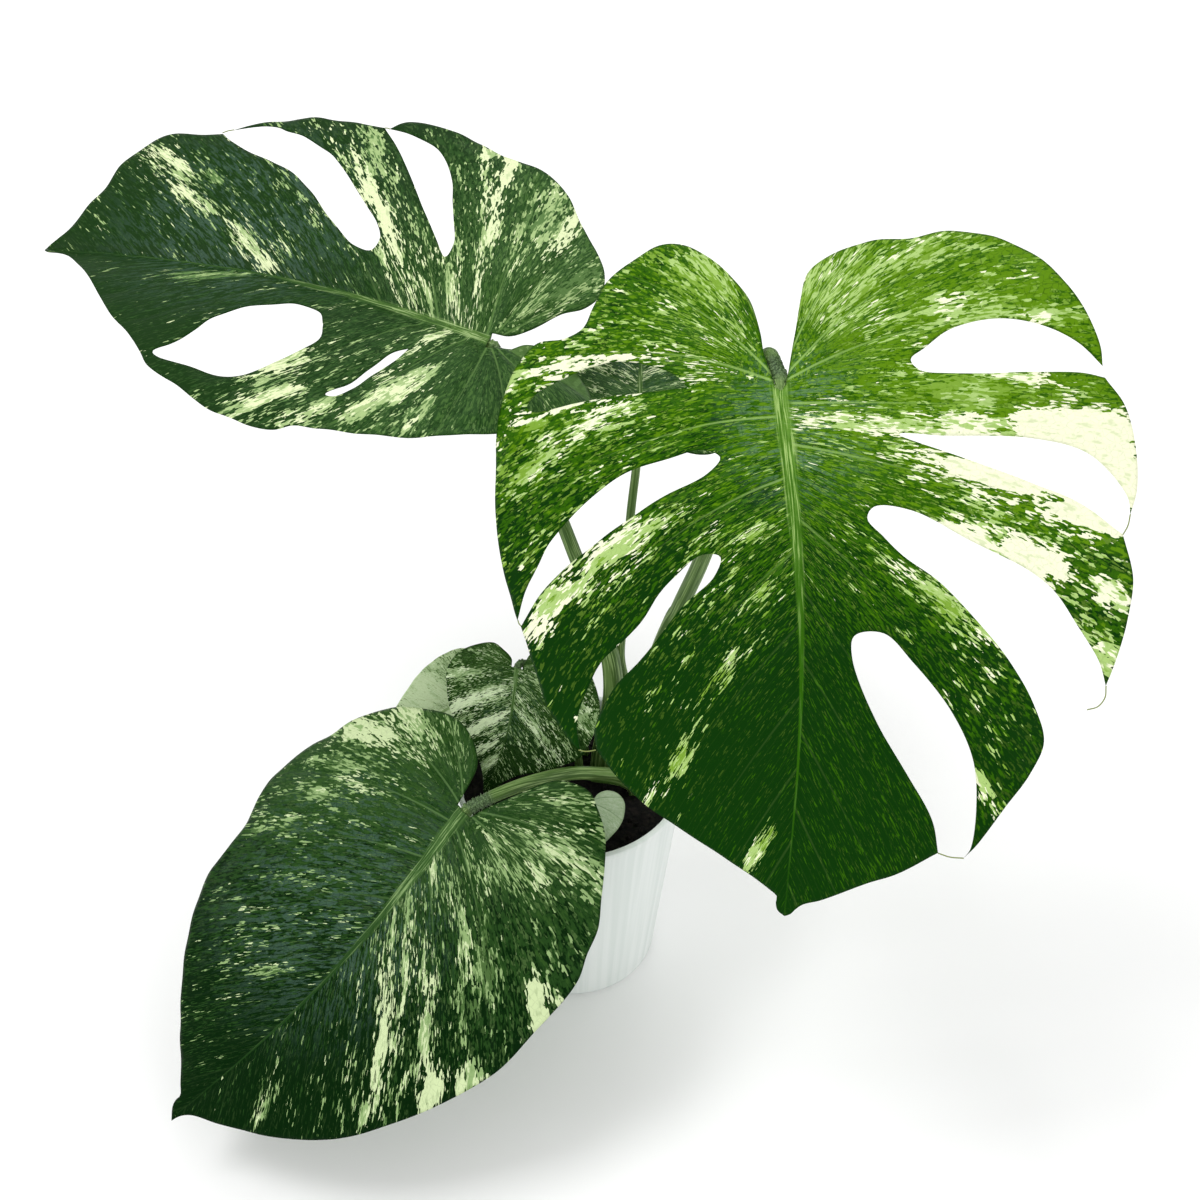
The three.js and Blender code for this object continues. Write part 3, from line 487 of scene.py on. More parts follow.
def new_object(name, mesh):
    """A scene object that shows the mesh."""
    made = bpy.data.objects.new(name, mesh)
    bpy.context.scene.collection.objects.link(made)
    return made


def mesh_of(name, points_mm, faces):
    """A mesh of points in mm and faces, shaded smooth."""
    mesh = bpy.data.meshes.new(name)
    mesh.from_pydata((np.asarray(points_mm) * MM).tolist(), [], faces)
    mesh.shade_smooth()
    return mesh


def write_corner_values(mesh, name, values):
    """Stores one number for each face corner."""
    layer = mesh.attributes.new(name, "FLOAT", "CORNER")
    layer.data.foreach_set("value", np.asarray(values, np.float32))


def write_corner_pairs(mesh, name, first, second):
    """Stores two numbers for each face corner, as a map."""
    layer = mesh.uv_layers.new(name=name)
    layer.uv.foreach_set("vector", np.stack([first, second], axis=1).astype(np.float32).ravel())


def closed_loop(runs, spacing):
    """Smooth runs joined at their corners into one closed loop."""
    parts = [spline(run, spacing)[:-1] for run in runs]
    if np.linalg.norm(np.subtract(runs[-1][-1], runs[0][0])) > 0.01:
        parts.append(np.array([runs[-1][-1]], float))
    return np.vstack(parts)


def nearest_distance(points, marks):
    """Each point's distance to the nearest mark."""
    tree = kdtree.KDTree(len(marks))
    for index, mark in enumerate(marks):
        tree.insert((mark[0], mark[1], 0), index)
    tree.balance()
    return np.array([tree.find((p[0], p[1], 0))[2] for p in points])


def leaf_net(leaf, spacing):
    """Places and triangles of a blade's flat net, and each place's distance to the margin."""
    loops = [closed_loop(leaf.outline, spacing)]
    loops += [closed_loop(hole, spacing) for hole in leaf.holes]
    margin = np.vstack(loops)
    rib = np.arange(0.5 * spacing, leaf.length - 0.6 * spacing, spacing)
    rib = np.stack([rib, leaf.midrib(rib)], axis=1)
    rib = rib[inside(rib, loops)]
    low, high = margin.min(0), margin.max(0)
    rise = spacing * math.sqrt(3) / 2
    rows = np.arange(low[1], high[1], rise)
    columns = np.arange(low[0], high[0], spacing)
    grid = np.array([(a + 0.5 * spacing * (k % 2), b)
                     for k, b in enumerate(rows) for a in columns])
    grid = grid[inside(grid, loops)]
    grid = grid[nearest_distance(grid, margin) > 0.7 * spacing]
    grid = grid[nearest_distance(grid, rib) > 0.6 * spacing]
    places = np.vstack([margin, rib, grid])
    edges, start = [], 0
    for loop in loops:
        ring = start + np.arange(len(loop))
        edges += list(zip(ring.tolist(), np.roll(ring, -1).tolist()))
        start += len(loop)
    edges += [(start + k, start + k + 1) for k in range(len(rib) - 1)]
    cut = delaunay_2d_cdt([Vector(p) for p in places.tolist()], edges, [], 0, 1e-6)
    places = np.array([tuple(p) for p in cut[0]])
    triangles = np.array(cut[2])
    middles = places[triangles].mean(axis=1)
    triangles = triangles[inside(middles, loops)]
    fine = np.vstack([closed_loop(run, 0.4) for run in [leaf.outline, *leaf.holes]])
    return places, triangles, nearest_distance(places, fine)


def leaf_size(leaf, least=0.45):
    """How large the leaf's markings or relief are: 1 on a grown leaf, and less on a small one."""
    return min(1.0, max(least, leaf.length / GROWN_LENGTH))


def freckling(leaf, a, b):
    """How freckled the ground is at each place."""
    weight = np.full(a.shape, 0.6)
    total = weight * leaf.plain_ground
    for along, across, reach, amount in GROUND[leaf.name]:
        near = 2 * np.exp(-((a - along) ** 2 + (b - across) ** 2) / (0.5 * reach * reach))
        total = total + near * amount
        weight = weight + near
    return total / weight


def patch_fields(leaf, t, v, side):
    """For places on one half: mm inside the nearest patch's edge, and how white that patch is."""
    size = leaf_size(leaf)
    inside_by = np.full(t.shape, -12.0)
    tone = np.full(t.shape, PLAIN_TONE)
    for along, across, half_length, half_width, amount in PATCHES[leaf.name]:
        centre_a, centre_b = np.array([float(along)]), np.array([float(across)])
        if leaf.side_of(centre_a, centre_b)[0] != side:
            continue
        t0, v0 = (x[0] for x in leaf.vein_fields(centre_a, centre_b, side)[:2])
        step = leaf.vein_fields(centre_a + 1, centre_b, side), leaf.vein_fields(
            centre_a, centre_b + 1, side)
        spread = math.hypot(step[0][1][0] - v0, step[1][1][0] - v0)
        u = np.hypot((t - t0) / half_length, (v - v0) / (half_width * spread))
        solid = 0.8 + 12 * max(0, amount - 0.7) ** 2
        deep = np.minimum((1 - u) * half_width / size, solid)
        nearer = deep > inside_by
        own = PLAIN_TONE + (2.2 * (amount - 0.68) - PLAIN_TONE) * np.exp(np.minimum(deep, 0) / 4)
        tone = np.where(nearer, own, tone)
        inside_by = np.where(nearer, deep, inside_by)
    return inside_by, tone


class Surface:
    """The fine shape of a blade at places on it: the veins, the swells between them, the edge."""

    def __init__(self, leaf, places, margin, settings):
        self.leaf = leaf
        a, b = places.T
        self.a, self.b, self.margin = a, b, margin
        self.size = size = leaf_size(leaf, 0.0)
        self.offset = b - leaf.midrib(a)
        self.halves = {side: leaf.vein_fields(a, b, side) for side in (1, -1)}
        self.side = leaf.side_of(a, b)
        count, gap = (np.where(self.side > 0, p, q)
                      for p, q in zip(self.halves[1][2:], self.halves[-1][2:]))
        self.from_rib = np.where(a > 0, np.abs(self.offset), np.hypot(a, b))
        share = np.clip(a / leaf.length, 0, 1)
        foot, tip = leaf.rib_width
        self.rib_width = tip + (foot - tip) * (1 - share) ** 1.7
        vein = np.abs(count - np.round(count)) * gap
        outward = smoothstep(1.5, 6, self.from_rib / size) * smoothstep(0.5, 7, margin / size)
        outward = outward * (1 - 0.75 * smoothstep(0.15, 0.6, share))
        self.vein_mark = np.exp(-(vein / (1.7 * size)) ** 2) * outward
        self.swell = (np.sin(np.pi * (count - np.floor(count))) * np.clip(gap / 14, 0, 1)
                      * outward * smoothstep(1, 12, margin / size))
        rib_high = 0.5 * leaf.radii[-1][1] * np.exp(-np.maximum(a, 0) / (16 * size))
        rib_high = rib_high + settings.rib_height / MM * size * (1 - share) ** 0.7
        self.rib = rib_high * np.exp(-(self.from_rib / (0.72 * self.rib_width)) ** 2)
        self.rib = self.rib * smoothstep(0, 4, margin / size) * smoothstep(-6, 0, a)
        beside = (self.from_rib - 1.7 * self.rib_width) / (0.9 * self.rib_width)
        self.gutter = np.exp(-beside ** 2) * smoothstep(1, 6, margin / size)
        ratio = gap / leaf.vein_spread(count, self.side)
        self.fan = np.maximum(1 - smoothstep(0.2, 0.5, ratio), smoothstep(1.6, 2.4, ratio))

    def upper(self, settings):
        """Height of the upper face over the middle surface, in mm."""
        size = self.size
        waver, ripple = (np.array([noise.noise(Vector((a * fine, b * fine, layer)))
                                   for a, b in zip(self.a, self.b)])
                         for fine, layer in ((0.045, 3.0), (1 / (17 * size), 8.0)))
        return (self.rib - 0.35 * size * self.gutter
                - settings.groove / MM * size * self.vein_mark
                + settings.swell / MM * size * self.swell
                + 0.9 * size * waver * smoothstep(0, 10, self.margin)
                + 1.5 * size * ripple * np.exp(-self.margin / (7 * size)))

    def lower_keel(self):
        """How far the veins stand out under the blade, in mm."""
        share = np.clip(self.a / self.leaf.length, 0, 1)
        keel = 0.75 * self.leaf.keel * (1 - 0.85 * share) * smoothstep(-8, 1, self.a)
        keel = keel * np.exp(-(self.from_rib / (0.9 * self.rib_width)) ** 2)
        return (keel * smoothstep(0, 3, self.margin)
                + 0.45 * self.size * self.vein_mark)


def blade_mesh(leaf, settings):
    """One blade with both faces, a thin rounded margin and the values that its colours follow."""
    spacing = settings.grain / MM * leaf_size(leaf, 0.4) * leaf.coarse
    places, triangles, margin = leaf_net(leaf, spacing)
    shape = Surface(leaf, places, margin, settings)
    middle = leaf.place(places[:, 0], places[:, 1])
    normal = leaf.normal(places[:, 0], places[:, 1])
    half = 0.5 * settings.thickness / MM * np.sqrt(np.clip(margin / 1.2, 0.09, 1))
    lift = shape.upper(settings)
    upper = middle + normal * (lift + half)[:, None]
    lower = middle + normal * (lift - shape.rib - half - shape.lower_keel())[:, None]
    count = len(places)
    turned = np.cross(places[triangles[:, 1]] - places[triangles[:, 0]],
                      places[triangles[:, 2]] - places[triangles[:, 0]]) < 0
    triangles[turned] = triangles[turned][:, ::-1]
    under = triangles[:, ::-1] + count
    centre = places[triangles].mean(axis=1)
    sides = leaf.side_of(centre[:, 0], centre[:, 1])
    seen = {}
    for tri, half_of in zip(triangles.tolist(), sides.tolist()):
        for k in range(3):
            p, q = tri[k], tri[(k + 1) % 3]
            if (q, p) in seen:
                del seen[(q, p)]
            else:
                seen[(p, q)] = half_of
    rim = np.array([(q, p, p + count, q + count) for p, q in seen])
    mesh = mesh_of(leaf.name, np.vstack([upper, lower]),
                   triangles.tolist() + under.tolist() + rim.tolist())
    corner = np.concatenate([triangles.ravel(), under.ravel() - count, rim.ravel() % count])
    corner_side = np.concatenate([np.repeat(sides, 3), np.repeat(sides, 3),
                                  np.repeat(np.array(list(seen.values())), 4)])
    right = corner_side > 0

    def pick(index):
        return np.where(right, shape.halves[1][index][corner], shape.halves[-1][index][corner])

    t, v, passed, gap = (pick(index) for index in range(4))
    patches = {side: patch_fields(leaf, *shape.halves[side][:2], side) for side in (1, -1)}
    patch, tone = (np.where(right, patches[1][k][corner], patches[-1][k][corner])
                   for k in range(2))
    write_corner_pairs(mesh, "blade", places[corner, 0], shape.offset[corner])
    write_corner_pairs(mesh, "veins", t, v)
    ground = freckling(leaf, *places.T)[corner] + 0.3 * np.exp(np.minimum(patch, 0) / 6)
    for name, values in dict(passed=passed, gap=gap, patch=patch, tone=tone, ground=ground,
                             fan=shape.fan[corner], margin=margin[corner],
                             rib=(shape.from_rib / shape.rib_width)[corner]).items():
        write_corner_values(mesh, name, values)
    material_index = np.zeros(len(mesh.polygons), np.int32)
    material_index[len(triangles):2 * len(triangles)] = 1
    mesh.polygons.foreach_set("material_index", material_index)
    return mesh


def petiole_route(leaf):
    """The centre line of a leaf's petiole, from under the soil to the underside of its blade."""
    tip = leaf.radii[-1][1]
    seat = leaf.place(np.array([-0.4]), np.array([0.0]))[0] - 0.5 * tip * leaf.out
    lead = seat - 0.6 * tip * leaf.along
    buried = [(*leaf.foot, height) for height in (STEM_FOOT, 115, 125)]
    return np.array([*buried, *leaf.route, lead, seat], float)


def tube(name, line, radius_at, sides, side_hint, joint_at=None):
    """A round stalk along a line. radius_at takes the share of the way, the distance along the
    line and the angle round it from side_hint, and the stalk's ends are domed shut. joint_at is
    where the wrinkled joint begins, in mm along the line."""
    tangent = np.gradient(line, axis=0)
    tangent /= np.linalg.norm(tangent, axis=1, keepdims=True)
    run = np.r_[0, np.cumsum(np.linalg.norm(np.diff(line, axis=0), axis=1))]
    hint = np.asarray(side_hint, float)
    first = hint - (tangent @ hint)[:, None] * tangent
    first /= np.linalg.norm(first, axis=1, keepdims=True)
    second = np.cross(tangent, first)
    angle = np.arange(sides) * 2 * math.pi / sides
    spokes = (first[:, None, :] * np.cos(angle)[None, :, None]
              + second[:, None, :] * np.sin(angle)[None, :, None])
    radius = radius_at((run / run[-1])[:, None], run[:, None], angle[None, :])
    rings = (line[:, None, :] + spokes * radius[:, :, None]).reshape(-1, 3)
    dome = radius.mean(axis=1)
    ends = [line[0] - 0.4 * dome[0] * tangent[0], line[-1] + 0.4 * dome[-1] * tangent[-1]]
    points = np.vstack([rings, ends])
    foot = len(rings)
    last = (len(line) - 1) * sides
    faces = []
    for side in range(sides):
        ahead = (side + 1) % sides
        for ring in range(len(line) - 1):
            near, far = ring * sides, (ring + 1) * sides
            faces.append((near + side, near + ahead, far + ahead, far + side))
        faces.append((foot, ahead, side))
        faces.append((foot + 1, last + side, last + ahead))
    mesh = mesh_of(name, points, faces)
    corner = np.zeros(len(mesh.loops), np.int32)
    mesh.loops.foreach_get("vertex_index", corner)
    along = np.append(np.repeat(run, sides), (run[0], run[-1]))[corner]
    turn = np.append(np.tile(angle, len(line)), (0, 0))[corner]
    write_corner_pairs(mesh, "stalk", along, np.cos(turn))
    write_corner_values(mesh, "turn", np.sin(turn))
    if joint_at is not None:
        write_corner_values(mesh, "joint", smoothstep(joint_at, joint_at + 5, along)
                            * (1 - smoothstep(joint_at + 13, joint_at + 17, along)))
    return mesh


def linear(red, green, blue):
    """A colour given as seen on a screen, from 0 to 255, as the shaders take it."""
    def one(value):
        share = value / 255
        return share / 12.92 if share <= 0.04045 else ((share + 0.055) / 1.055) ** 2.4
    return (one(red), one(green), one(blue), 1.0)


class Net:
    """The nodes of one material, added by short calls that give back sockets."""

    def __init__(self, name, roughness, specular=0.3):
        self.material = bpy.data.materials.new(name)
        self.material.use_nodes = True
        self.tree = self.material.node_tree
        self.shader = self.tree.nodes["Principled BSDF"]
        self.shader.inputs["Roughness"].default_value = roughness
        self.shader.inputs["Specular IOR Level"].default_value = specular

    def set_input(self, node, key, value):
        """Joins a socket to an input, or sets its value."""
        if isinstance(value, bpy.types.NodeSocket):
            self.tree.links.new(value, node.inputs[key])
        elif value is not None:
            node.inputs[key].default_value = value

    def shade(self, key, value):
        """Sets one of the shader's inputs."""
        self.set_input(self.shader, key, value)

    def math(self, operation, *values, kind="ShaderNodeMath"):
        """One operation on up to three values."""
        node = self.tree.nodes.new(kind)
        node.operation = operation
        for key, value in enumerate(values):
            self.set_input(node, key, value)
        return node.outputs["Value" if operation == "DISTANCE" else 0]

    def vector(self, operation, *values):
        """One operation on up to three places."""
        return self.math(operation, *values, kind="ShaderNodeVectorMath")

    def times(self, first, second):
        """The product of two values."""
        return self.math("MULTIPLY", first, second)

    def from_whole(self, value):
        """How far a value is from the nearest whole number."""
        return self.math("ABSOLUTE", self.math("SUBTRACT", value, self.math("ROUND", value)))

    def mix(self, share, first, second):
        """The first colour where share is 0, and the second where it is 1."""
        node = self.tree.nodes.new("ShaderNodeMix")
        node.data_type = "RGBA"
        self.set_input(node, "Factor", share)
        self.set_input(node, "A", first)
        self.set_input(node, "B", second)
        return node.outputs["Result"]

    def number(self, name):
        """A number stored on the mesh."""
        node = self.tree.nodes.new("ShaderNodeAttribute")
        node.attribute_name = name
        return node.outputs["Fac"]

    def pair(self, name):
        """The two numbers of a map on the mesh."""
        node = self.tree.nodes.new("ShaderNodeUVMap")
        node.uv_map = name
        split = self.tree.nodes.new("ShaderNodeSeparateXYZ")
        self.tree.links.new(node.outputs[0], split.inputs[0])
        return split.outputs[0], split.outputs[1]

    def object_place(self):
        """The place in the object's own metres."""
        return self.tree.nodes.new("ShaderNodeTexCoord").outputs["Object"]

    def spot(self, x, y, z=0.0):
        """A place made of three values."""
        node = self.tree.nodes.new("ShaderNodeCombineXYZ")
        for key, value in enumerate((x, y, z)):
            self.set_input(node, key, value)
        return node.outputs[0]

    def noise(self, place, scale=1.0, detail=2.0, roughness=0.5):
        """Smooth noise from 0 to 1 at a place."""
        node = self.tree.nodes.new("ShaderNodeTexNoise")
        self.set_input(node, "Vector", place)
        node.inputs["Scale"].default_value = scale
        node.inputs["Detail"].default_value = detail
        node.inputs["Roughness"].default_value = roughness
        return node.outputs["Fac"]

    def step(self, value, low, high, out_low=0.0, out_high=1.0):
        """A smooth step of a value from out_low at low to out_high at high."""
        node = self.tree.nodes.new("ShaderNodeMapRange")
        node.interpolation_type = "SMOOTHSTEP"
        for key, given in zip(("Value", "From Min", "From Max", "To Min", "To Max"),
                              (value, low, high, out_low, out_high)):
            self.set_input(node, key, given)
        return node.outputs["Result"]

    def blend(self, share, first, second):
        """The first value where share is 0, and the second where it is 1."""
        node = self.tree.nodes.new("ShaderNodeMix")
        for key, value in zip((0, 2, 3), (share, first, second)):
            self.set_input(node, key, value)
        return node.outputs[0]

    def total(self, *parts):
        """The sum of values, each times its own weight."""
        whole = self.times(*parts[0])
        for value, weight in parts[1:]:
            whole = self.math("MULTIPLY_ADD", value, weight, whole)
        return whole

    def warp(self, place, amount):
        """The place moved about by a slow noise."""
        node = self.tree.nodes.new("ShaderNodeTexNoise")
        self.set_input(node, "Vector", place)
        node.inputs["Scale"].default_value = 0.7
        return self.vector("MULTIPLY_ADD", node.outputs["Color"], (amount, amount, 0.0), place)

    def mosaic(self, place, feature):
        """A flat mosaic of cells 1 across."""
        node = self.tree.nodes.new("ShaderNodeTexVoronoi")
        node.voronoi_dimensions = "2D"
        node.feature = feature
        node.inputs["Scale"].default_value = 1.0
        self.set_input(node, "Vector", place)
        return node

    def cells(self, place):
        """Two random numbers for each cell of a mosaic."""
        split = self.tree.nodes.new("ShaderNodeSeparateColor")
        self.set_input(split, 0, self.mosaic(place, "F1").outputs["Color"])
        return split.outputs[0], split.outputs[1]

    def cell_edge(self, place):
        """The distance from the walls between a mosaic's cells."""
        return self.mosaic(place, "DISTANCE_TO_EDGE").outputs["Distance"]

    def bump(self, height, distance_mm, strength=1.0):
        """Tilts the shading as a relief of that many mm would."""
        node = self.tree.nodes.new("ShaderNodeBump")
        node.inputs["Distance"].default_value = distance_mm * MM
        node.inputs["Strength"].default_value = strength
        self.set_input(node, "Height", height)
        self.shade("Normal", node.outputs["Normal"])


# Screen colours of each leaf in the order of TONES: three greens, the lime, pale and cream of
# its patches, the grey of a painted sheen, the midrib at its foot and at its tip, and the side
# veins
TONES = ("bright", "mid", "deep", "lime", "pale", "cream", "haze", "rib", "rib_tip", "line")
LOOKS = {
    "front_leaf": [(86, 128, 8), (44, 90, 0), (6, 49, 0), (118, 156, 52), (164, 194, 114),
                   (236, 239, 206), (102, 136, 106), (96, 138, 50), (42, 92, 4), (142, 178, 96)],
    "back_leaf": [(66, 99, 46), (41, 73, 30), (20, 50, 12), (88, 120, 66), (160, 185, 124),
                  (220, 231, 182), (72, 98, 86), (84, 118, 52), (42, 74, 26), (92, 124, 66)],
    "low_leaf": [(44, 76, 28), (32, 64, 22), (0, 30, 0), (74, 104, 54), (140, 168, 110),
                 (200, 216, 166), (74, 102, 88), (74, 108, 54), (28, 60, 20), (86, 118, 66)],
    "small_leaf": [(58, 92, 38), (36, 66, 18), (16, 44, 6), (84, 116, 62), (150, 176, 124),
                   (212, 228, 188), (78, 106, 86), (88, 124, 62), (36, 66, 18), (96, 128, 72)],
    "pale_leaf": [(110, 136, 86), (90, 118, 66), (70, 96, 48), (134, 160, 110), (168, 190, 144),
                  (190, 208, 166), (120, 146, 110), (142, 168, 114), (114, 144, 86),
                  (128, 154, 104)],
    "seedling_leaf": [(166, 182, 154), (156, 173, 142), (136, 157, 120), (166, 184, 154),
                      (172, 188, 160), (178, 194, 166), (164, 180, 156), (150, 172, 132),
                      (134, 156, 114), (98, 126, 84)],
    "hidden_leaf": [(66, 98, 48), (44, 75, 34), (24, 52, 18), (90, 122, 68), (170, 190, 138),
                    (214, 224, 182), (74, 102, 88), (88, 122, 54), (44, 76, 28), (94, 126, 70)],
}
# From where to where along the blade the greens go deep, partly as painted shade, the place and
# reach of the painted sheen, all in mm, and how much lighter the greens are on the right half
# than on the left
SHADES = {
    "front_leaf": ((-15, 172), (20, 6, 40), 0.42),
    "back_leaf": ((-60, 160), (150, -30, 80), 0.0),
    "low_leaf": ((-40, 180), (80, -30, 80), -0.55),
    "small_leaf": ((-20, 60), (20, 0, 20), 0.0),
    "pale_leaf": ((-10, 60), (20, 0, 20), 0.0),
    "seedling_leaf": ((-10, 40), (20, 0, 20), 0.0),
    "hidden_leaf": ((-20, 90), (50, 0, 40), 0.0),
}


def blade_material(leaf, under):
    """A blade's finish: greens that deepen to the tip, partly as painted shade, a patch of painted
    sheen, a mosaic of mint and cream cells drawn out along the veins, and pale veins."""
    look = {tone: linear(*value) for tone, value in zip(TONES, LOOKS[leaf.name])}
    (low, high), (sheen_along, sheen_aside, reach), paler_right = SHADES[leaf.name]
    size = leaf_size(leaf)
    net = Net(leaf.name + ("_under" if under else "_upper"), 0.6 if under else 0.38,
              0.15 if under else 0.045)
    along, aside = net.pair("blade")
    out, over = net.pair("veins")
    ground = net.number("ground")
    fan = net.number("fan")
    seed = float(len(leaf.name))

    def scaled(first, second, x_mm, y_mm, layer):
        return net.spot(net.times(first, 1 / (x_mm * size)),
                        net.times(second, 1 / (y_mm * size)), seed + layer)

    def field(stretch, width, layer, detail=2.0):
        return net.noise(scaled(out, over, stretch, width, layer), 1.0, detail)

    def even(width, layer, detail=2.0):
        return net.noise(scaled(along, aside, width, width, layer), 1.0, detail)

    # Cells of the mosaic: drawn out along the side veins, and even where the veins fan out
    drawn = net.cells(net.warp(scaled(out, over, 2.9, 0.65, 0.0), 1.3))
    even_cells = net.cells(net.warp(scaled(along, aside, 1.3, 1.3, 2.0), 0.9))
    first_draw = net.blend(fan, drawn[0], even_cells[0])
    second_draw = net.blend(fan, drawn[1], even_cells[1])
    broad_draw = net.cells(net.warp(scaled(out, over, 8.0, 2.2, 7.0), 0.9))[0]
    fine = net.blend(fan, field(5.0, 1.5, 0.3, 3.0), even(2.4, 5.0, 3.0))
    medium = net.blend(net.times(fan, 0.6), field(15.0, 4.0, 11.0), even(7.0, 13.0))
    large = field(46.0, 13.0, 23.0)

    # Patches with ragged edges, and freckles small and broad, denser where `ground` is high
    ragged = net.total((net.number("patch"), 1.0), (first_draw, 2.2), (fine, 3.5), (medium, 9.0))
    patch_here = net.step(ragged, 7.5, 7.65)
    small_sum = net.total((first_draw, 0.75), (fine, 0.5), (medium, 1.1), (large, 0.9),
                          (ground, 1.0))
    broad_sum = net.total((broad_draw, 0.8), (first_draw, 0.12), (fine, 0.8), (large, 1.2),
                          (ground, 0.8))
    freckle_here = net.math("MAXIMUM", net.step(small_sum, 2.16, 2.18),
                            net.step(broad_sum, 2.12, 2.13))
    pale_here = net.math("MAXIMUM", patch_here, freckle_here)
    lime_sum = net.total((second_draw, 0.9), (medium, 0.4), (fine, 1.3), (ground, 0.45))
    lime_here = net.step(lime_sum, 1.67, 1.73)
    whiteness = net.total((net.number("tone"), 1.0), (field(24.0, 9.0, 41.0), 1.2),
                          (second_draw, 0.3))
    mint_here = net.step(whiteness, 0.98, 1.04)
    white_here = net.step(whiteness, 1.24, 1.3)

    # Painted sheen: a grey reflection of fine grains painted around one place of the blade
    apart = net.vector("DISTANCE", net.spot(along, aside), (sheen_along, sheen_aside, 0.0))
    painted_sheen = net.times(net.step(apart, 0.3 * reach, 1.2 * reach, 0.5, 0.0),
                      net.step(net.total((fine, 1.0), (broad_draw, 0.3)), 0.64, 0.74))

    # Greens: deep towards the tip, partly the leaf's own colour and partly painted shade where the
    # blade turns from the light, and on some leaves lighter on one half than on the other
    depth = net.total((net.step(along, low, high), 0.86),
                      (net.step(aside, -110.0 * size, 110.0 * size, 0.5, -0.5), paler_right),
                      (field(26.0, 3.0, 57.0), 0.6), (second_draw, 0.8), (fine, 1.9),
                      (medium, 0.6), (even(22.0, 61.0), 0.55))
    green = net.mix(net.step(depth, 1.96, 2.24), look["bright"], look["mid"])
    green = net.mix(net.step(depth, 2.44, 2.76), green, look["deep"])

    # Side veins that thin out towards the margin and the tip, the hair between them, six to a
    # gap, and the net of the finest veins
    passed = net.number("passed")
    gap = net.number("gap")
    vein_width = net.step(out, 0.0, 70.0 * size, 0.75 * size, 0.4 * size)
    vein = net.step(net.math("DIVIDE", net.times(net.from_whole(passed), gap), vein_width),
                    0.35, 1.0, 1.0, 0.0)
    vein = net.times(vein, net.step(out, 0.0, 100.0 * size, 0.8, 0.05))
    vein = net.times(vein, net.step(along, 0.05 * leaf.length, 0.45 * leaf.length, 1.0, 0.06))
    hair = net.step(net.times(net.from_whole(net.times(passed, 6.0)), gap), 0.3, 1.5, 1.0, 0.0)
    mesh_line = net.step(net.cell_edge(net.warp(scaled(along, aside, 3.0, 3.0, 4.0), 1.2)),
                         0.02, 0.1, 1.0, 0.0)
    mesh_line = net.times(mesh_line, net.step(fine, 0.4, 0.6, 0.1, 0.5))
    mesh_line = net.times(mesh_line, net.math("MULTIPLY_ADD", pale_here, -0.7, 1.0))

    pale = net.mix(mint_here, look["lime"], look["pale"])
    pale = net.mix(white_here, pale, look["cream"])
    pale = net.mix(net.step(fine, 0.34, 0.48, 0.3, 0.0), pale, look["lime"])
    # Mixes the painted sheen, a grey reflection painted into the colour, over the greens
    colour = net.mix(painted_sheen, green, look["haze"])
    lime_share = net.times(lime_here, net.step(along, low, high, 0.85, 0.15))
    colour = net.mix(lime_share, colour, look["lime"])
    colour = net.mix(pale_here, colour, pale)
    colour = net.mix(mesh_line, colour, look["deep"])
    colour = net.mix(vein, colour, look["line"])
    colour = net.mix(net.times(hair, 0.04), colour, look["rib"])
    edge = net.times(net.step(net.number("margin"), 0.3, 1.3, 0.45, 0.0),
                     net.math("SUBTRACT", 1.0, pale_here))
    colour = net.mix(edge, colour, look["deep"])

    # The midrib, with dark and pale streaks, grows faint towards the tip
    rib_colour = net.mix(net.step(along, 0.0, 0.6 * leaf.length), look["rib"], look["rib_tip"])
    stripes = net.noise(net.spot(net.times(along, 0.05), net.times(aside, 1.1 / size), seed),
                        1.0, 3.0)
    rib_colour = net.mix(net.step(stripes, 0.42, 0.5, 0.7, 0.0), rib_colour, look["mid"])
    from_middle = net.times(net.number("rib"),
                            net.step(along, 0.2 * leaf.length, 0.9 * leaf.length, 1.0, 2.4))
    streak = net.times(net.step(stripes, 0.54, 0.6, 0.0, 0.8),
                       net.step(along, 0.15 * leaf.length, 0.6 * leaf.length, 1.0, 0.1))
    rib_colour = net.mix(streak, rib_colour, look["pale"])
    rib_here = net.step(from_middle, 0.5, 1.3, 0.95, 0.0)
    rib_here = net.times(rib_here, net.step(along, -3.0 * size, 1.0))
    rib_here = net.times(rib_here, net.step(along, 0.7 * leaf.length, leaf.length, 1.0, 0.25))
    colour = net.mix(rib_here, colour, rib_colour)
    if under:
        colour = net.mix(0.45, colour, look["rib"])
    net.shade("Base Color", colour)
    net.bump(net.total((hair, -0.2), (fine, 0.9)), 0.3 * size, 0.7)
    return net.material


def stalk_material(name, light, mid, deep, furrow):
    """A petiole's finish: long fine stripes of three greens, and a dark wrinkled joint, with
    painted shade in its wrinkles' hollows and painted highlight on their crests.
    """
    net = Net(name, 0.5, 0.3)
    run, turn_x = net.pair("stalk")
    turn_y = net.number("turn")

    def stripes(stretch, fineness, layer):
        return net.noise(net.spot(net.math("MULTIPLY_ADD", run, 1 / stretch, layer),
                                  net.times(turn_x, fineness), net.times(turn_y, fineness)),
                         1.0, 3.0)

    coarse = stripes(60.0, 2.2, 0.0)
    fine = stripes(24.0, 7.0, 9.0)
    colour = net.mix(net.step(coarse, 0.38, 0.62), linear(*deep), linear(*mid))
    colour = net.mix(net.step(fine, 0.5, 0.68), colour, linear(*light))
    wrinkles = net.noise(net.object_place(), 1100.0, 3.0)
    # The joint's dark green, painted darker in the wrinkles' hollows and lighter on their crests
    joint_shaded = net.mix(net.step(wrinkles, 0.42, 0.62), linear(44, 66, 36), linear(104, 130, 88))
    joint = net.number("joint")
    net.shade("Base Color", net.mix(net.times(joint, 0.85), colour, joint_shaded))
    net.bump(net.blend(joint, fine, wrinkles), furrow)
    return net.material


